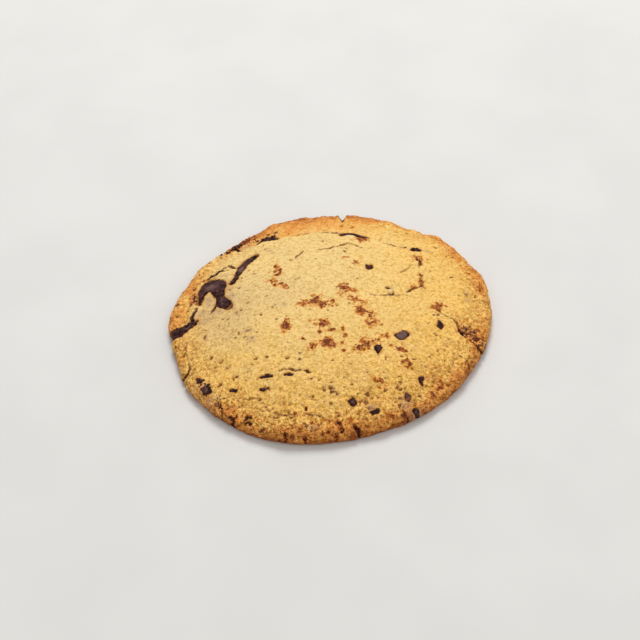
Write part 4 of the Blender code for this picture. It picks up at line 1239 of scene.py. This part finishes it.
def crust_material():
    """Layers of colour over the dough, and a fine bump of the same grain."""
    material, tree, shader, where = new_material("baked_crust", 0.72, 0.22)
    mottle, broad = grain_of(tree, where, 2.4), grain_of(tree, where, 7.0)
    fine, finest = grain_of(tree, where, 1.0, 3.0), grain_of(tree, where, 0.45, 1.0)
    sandy = times(tree, fine, 0.65, times(tree, finest, 0.35))
    speckled, pore_shade = painted(tree, "speckled"), painted(tree, "pore_shade")
    strongest = reckon(tree, "POWER", speckled, 3.0)

    toasted = times(tree, eased(tree, sandy, 0.54, 0.36), times(tree, strongest, 0.66, 0.22))
    streak = reckon(tree, "SUBTRACT", grain_of(tree, where, 3.4, 3.0), 0.5)
    streak = eased(tree, reckon(tree, "ABSOLUTE", streak), 0.0, 0.045, 0.8, 0.0)
    streak = times(tree, streak, eased(tree, fine, 0.42, 0.62))
    often = times(tree, speckled, eased(tree, grain_of(tree, where, 5.0), 0.38, 0.62, 0.35, 1.5))
    stretched = add(tree, "Mapping", {"Vector": where, "Scale": (0.75, 1.0, 1.0)}).outputs["Vector"]
    light = specks(tree, stretched, 1.5, times(tree, often, 0.40), 0.24)
    dark = specks(tree, stretched, 2.6, times(tree, often, 0.48, 0.06), 0.21)
    colour = laid(
        tree, baking(tree, speckled, mottle, broad),
        (toasted, 1.0, TOAST),
        (specks(tree, where, 1.35, 0.32, 0.18), 0.42, BROWN),
        (streak, eased(tree, speckled, 0.2, 0.8), BROWN),
        (light, 0.6, BROWN),
        # Painted shade in pores, crevices and pits.
        (pore_shade, 0.6, BROWN),
        (eased(tree, pore_shade, 0.5, 0.8), 0.6, BURNT_AND_SHADE),
        (dark, 0.85, BURNT_AND_SHADE),
    )
    colour, grains = caramelised(tree, where, colour)
    colour, open_crack = cracked(tree, where, smudged(tree, where, colour))

    contrast = times(tree, strongest, 0.6, times(tree, speckled, 0.7, 0.55))
    value = times(tree, reckon(tree, "SUBTRACT", sandy, 0.5), contrast, 1.0)
    warmth = times(tree, reckon(tree, "SUBTRACT", 0.5, sandy, clamp=True), 0.9, 1.0)
    toned = add(tree, "HueSaturation", {"Value": value, "Saturation": warmth, "Color": colour})
    height = times(tree, mottle, 0.5, times(tree, sandy, 0.7))
    height = times(tree, height, times(tree, contrast, 0.70, -0.05))
    height = times(tree, reckon(tree, "MAXIMUM", light, dark), -0.12, height)
    height = times(tree, reckon(tree, "MAXIMUM", grains, open_crack), -0.16, height)
    coloured(tree, shader, toned.outputs["Color"], height)
    return material


dough.data.materials.append(crust_material())

# %% [markdown]
# Chocolate that melted in the oven and set again loses its shine and turns a dull maroon brown,
# with a paler bloom where fat came to the top, which on the chips is partly a painted highlight.
# Away from the bloom it is darker, and most so on the burnt bits and at the left rim; on the chips
# this darker tone is painted shade of their beds. A few small crumbs of crust stick to it.

# %% Chocolate
CHOCOLATE_DARK, CHOCOLATE_MID, BLOOM_AND_HIGHLIGHT = shade(40, 21, 19), shade(80, 46, 43), shade(132, 100, 96)


def chocolate_material():
    """Dark and mid brown mixed by noise, bloom and painted highlight by its painted value, a darker
    tone away from it, and a soft bump.
    """
    material, tree, shader, where = new_material("melted_chocolate", 0.68, 0.12)
    mottle, fine = grain_of(tree, where, 1.8), grain_of(tree, where, 0.6)
    bloom_and_highlight = painted(tree, "bloom_and_highlight")
    colour = laid(
        tree, blended(tree, eased(tree, mottle, 0.36, 0.66), CHOCOLATE_DARK, CHOCOLATE_MID),
        # Darker away from the bloom: the own dark of the burnt bits and the left rim, and painted shade
        # on the chips.
        (eased(tree, bloom_and_highlight, -0.2, -0.6, 0.0, 0.75), 1.0, CHOCOLATE_DARK),
        # Bloom, and on the chips a painted highlight.
        (ragged(tree, where, bloom_and_highlight, 0.5, 0.9, 0.9, 0.3), 0.58, BLOOM_AND_HIGHLIGHT),
        (specks(tree, where, 1.7, 0.32, 0.2), 0.2, STAIN),
    )
    coloured(tree, shader, colour, times(tree, mottle, 0.35, times(tree, fine, 0.16)))
    return material


BLOOMS_AND_HIGHLIGHTS = [
    (-29.4, 20.6, 2.4, 1.4, 65, 1.3), (-47.4, -2.4, 1.8, 1.2, 20, 1.1), (-39.6, 13.8, 4.6, 3.4, 0, 0.8),
    (-36.0, 6.2, 2.0, 3.0, 20, 0.6),
]
# A chip's bloom value also paints a highlight on its top.
for at_x, at_y, radii, bloom_and_highlight in CHIPS:
    BLOOMS_AND_HIGHLIGHTS.append((at_x, at_y, max(radii), max(radii), 0, 1.3 * bloom_and_highlight))
# The lower the least value, the darker the chocolate is away from its bloom. On the burnt bits and the
# left rim that is their own dark, and on the chips it is painted shade of their beds.
LEAST_BLOOM = -0.1
LEAST_BLOOM_AND_SHADE_OF = {burnt: -0.7, ribbons["chocolate_left_rim"]: -0.7, chips: -0.35}
melted = chocolate_material()
for piece in (*ribbons.values(), chips, burnt):
    places = points_of(piece)
    least = LEAST_BLOOM_AND_SHADE_OF.get(piece, LEAST_BLOOM)
    paint(piece, "bloom_and_highlight", np.maximum(least, spot_field(places[:, 0], places[:, 1], BLOOMS_AND_HIGHLIGHTS)))
    piece.data.materials.append(melted)
print(len(BLOOMS_AND_HIGHLIGHTS), "places with bloom, in", melted.name)

# %% [markdown]
# The crumb in the open crack is caramel: light brown lumps beside nearly burnt ones, so its noise is
# as large as the lumps are, and its contrast is strong.

# %% Caramelised crumb
CRUMB_DARK, CRUMB_LIGHT = shade(90, 42, 20), shade(232, 154, 66)


def crumb_material():
    """Caramel and dark brown mixed by noise of 1.5 millimetres, with burnt specks and a slight bump."""
    material, tree, shader, where = new_material("caramelised_crumb", 0.6)
    mottle = grain_of(tree, where, 1.5)
    colour = blended(tree, eased(tree, mottle, 0.38, 0.58), CRUMB_DARK, CRUMB_LIGHT)
    colour = laid(tree, colour, (specks(tree, where, 0.9, 0.45, 0.3), 0.8, BURNT_AND_SHADE))
    coloured(tree, shader, colour, mottle, 0.6, 0.3)
    return material


crumb.data.materials.append(crumb_material())

# %% [markdown]
# The stage is a plain pale floor that the cookie rests on. It is far wider than the picture, and a
# faint unevenness of tone keeps it from looking like a flat sheet of one colour.

# %% Floor
FLOOR_WIDTH = 4.0
bpy.ops.mesh.primitive_plane_add(size=FLOOR_WIDTH, location=(0, 0, 0))
floor = bpy.context.object
floor.name = "floor"
paper, tree, shader, where = new_material("pale_floor", 0.9, 0.1)
tone = eased(tree, grain_of(tree, where, 40), 0.3, 0.7)
coloured(tree, shader, blended(tree, tone, shade(218, 218, 217), shade(222, 222, 221)))
floor.data.materials.append(paper)
print("floor", FLOOR_WIDTH, "m wide")

# %% [markdown]
# The light falls from behind, from a soft square like a window, so the front of the rim lies in its
# own shade and the grain of the crust shows. A large weak light at the front right and a pale room
# fill the shadows.

# %% Light
ROOM_COLOUR, ROOM_STRENGTH = (1.0, 0.985, 0.96, 1), 0.54
# Each light: its name, its place and its side in metres, its power in watts and its colour.
LIGHTS = (
    ("window", (0.02, 0.60, 0.92), 0.45, 6.9, (1.0, 0.98, 0.95)),
    ("fill", (0.5, -0.6, 0.9), 0.9, 2.35, (1.0, 0.97, 0.93)),
)
world = bpy.data.worlds.new("soft_room")
world.use_nodes = True
room = world.node_tree.nodes["Background"].inputs
room["Color"].default_value, room["Strength"].default_value = ROOM_COLOUR, ROOM_STRENGTH
bpy.context.scene.world = world
for name, place, side, power, colour in LIGHTS:
    lamp = bpy.data.lights.new(name, "AREA")
    lamp.size, lamp.energy, lamp.color = side, power, colour
    light = bpy.data.objects.new(name, lamp)
    light.location = place
    light.rotation_euler = (-Vector(place)).to_track_quat("-Z", "Y").to_euler()
    bpy.context.scene.collection.objects.link(light)
bpy.context.scene.view_settings.view_transform = "Standard"
print(len(LIGHTS), "lights, facing the cookie")

# %% [markdown]
# The camera looks down at 46 degrees from half a metre away, through a long lens, as the picture of
# the cookie was taken. It turns slightly about its own axis, and its view is shifted so that the
# aim, 5 mm over the middle of the base, falls a little to the right and above the picture's centre.

# %% Camera
DISTANCE, ELEVATION, ROLL = 0.537, math.radians(46.2), math.radians(-3.4)
LENS, SENSOR, PICTURE = 90, 36, 640
AIM = Vector((0, 0, 0.005)) - Vector(PLAN_MIDDLE * MM)
AIM_PIXEL = (329.8, 316.9)
camera_data = bpy.data.cameras.new("camera")
camera_data.lens, camera_data.sensor_width = LENS, SENSOR
camera_data.shift_x = (PICTURE / 2 - AIM_PIXEL[0]) / PICTURE
camera_data.shift_y = (AIM_PIXEL[1] - PICTURE / 2) / PICTURE
camera = bpy.data.objects.new("camera", camera_data)
facing = Matrix.Rotation(math.pi / 2 - ELEVATION, 4, "X") @ Matrix.Rotation(ROLL, 4, "Z")
camera.matrix_world = Matrix.Translation(AIM) @ facing @ Matrix.Translation((0, 0, DISTANCE))
bpy.context.scene.collection.objects.link(camera)
bpy.context.scene.camera = camera
print("camera at", [round(value, 3) for value in camera.matrix_world.translation], "m")
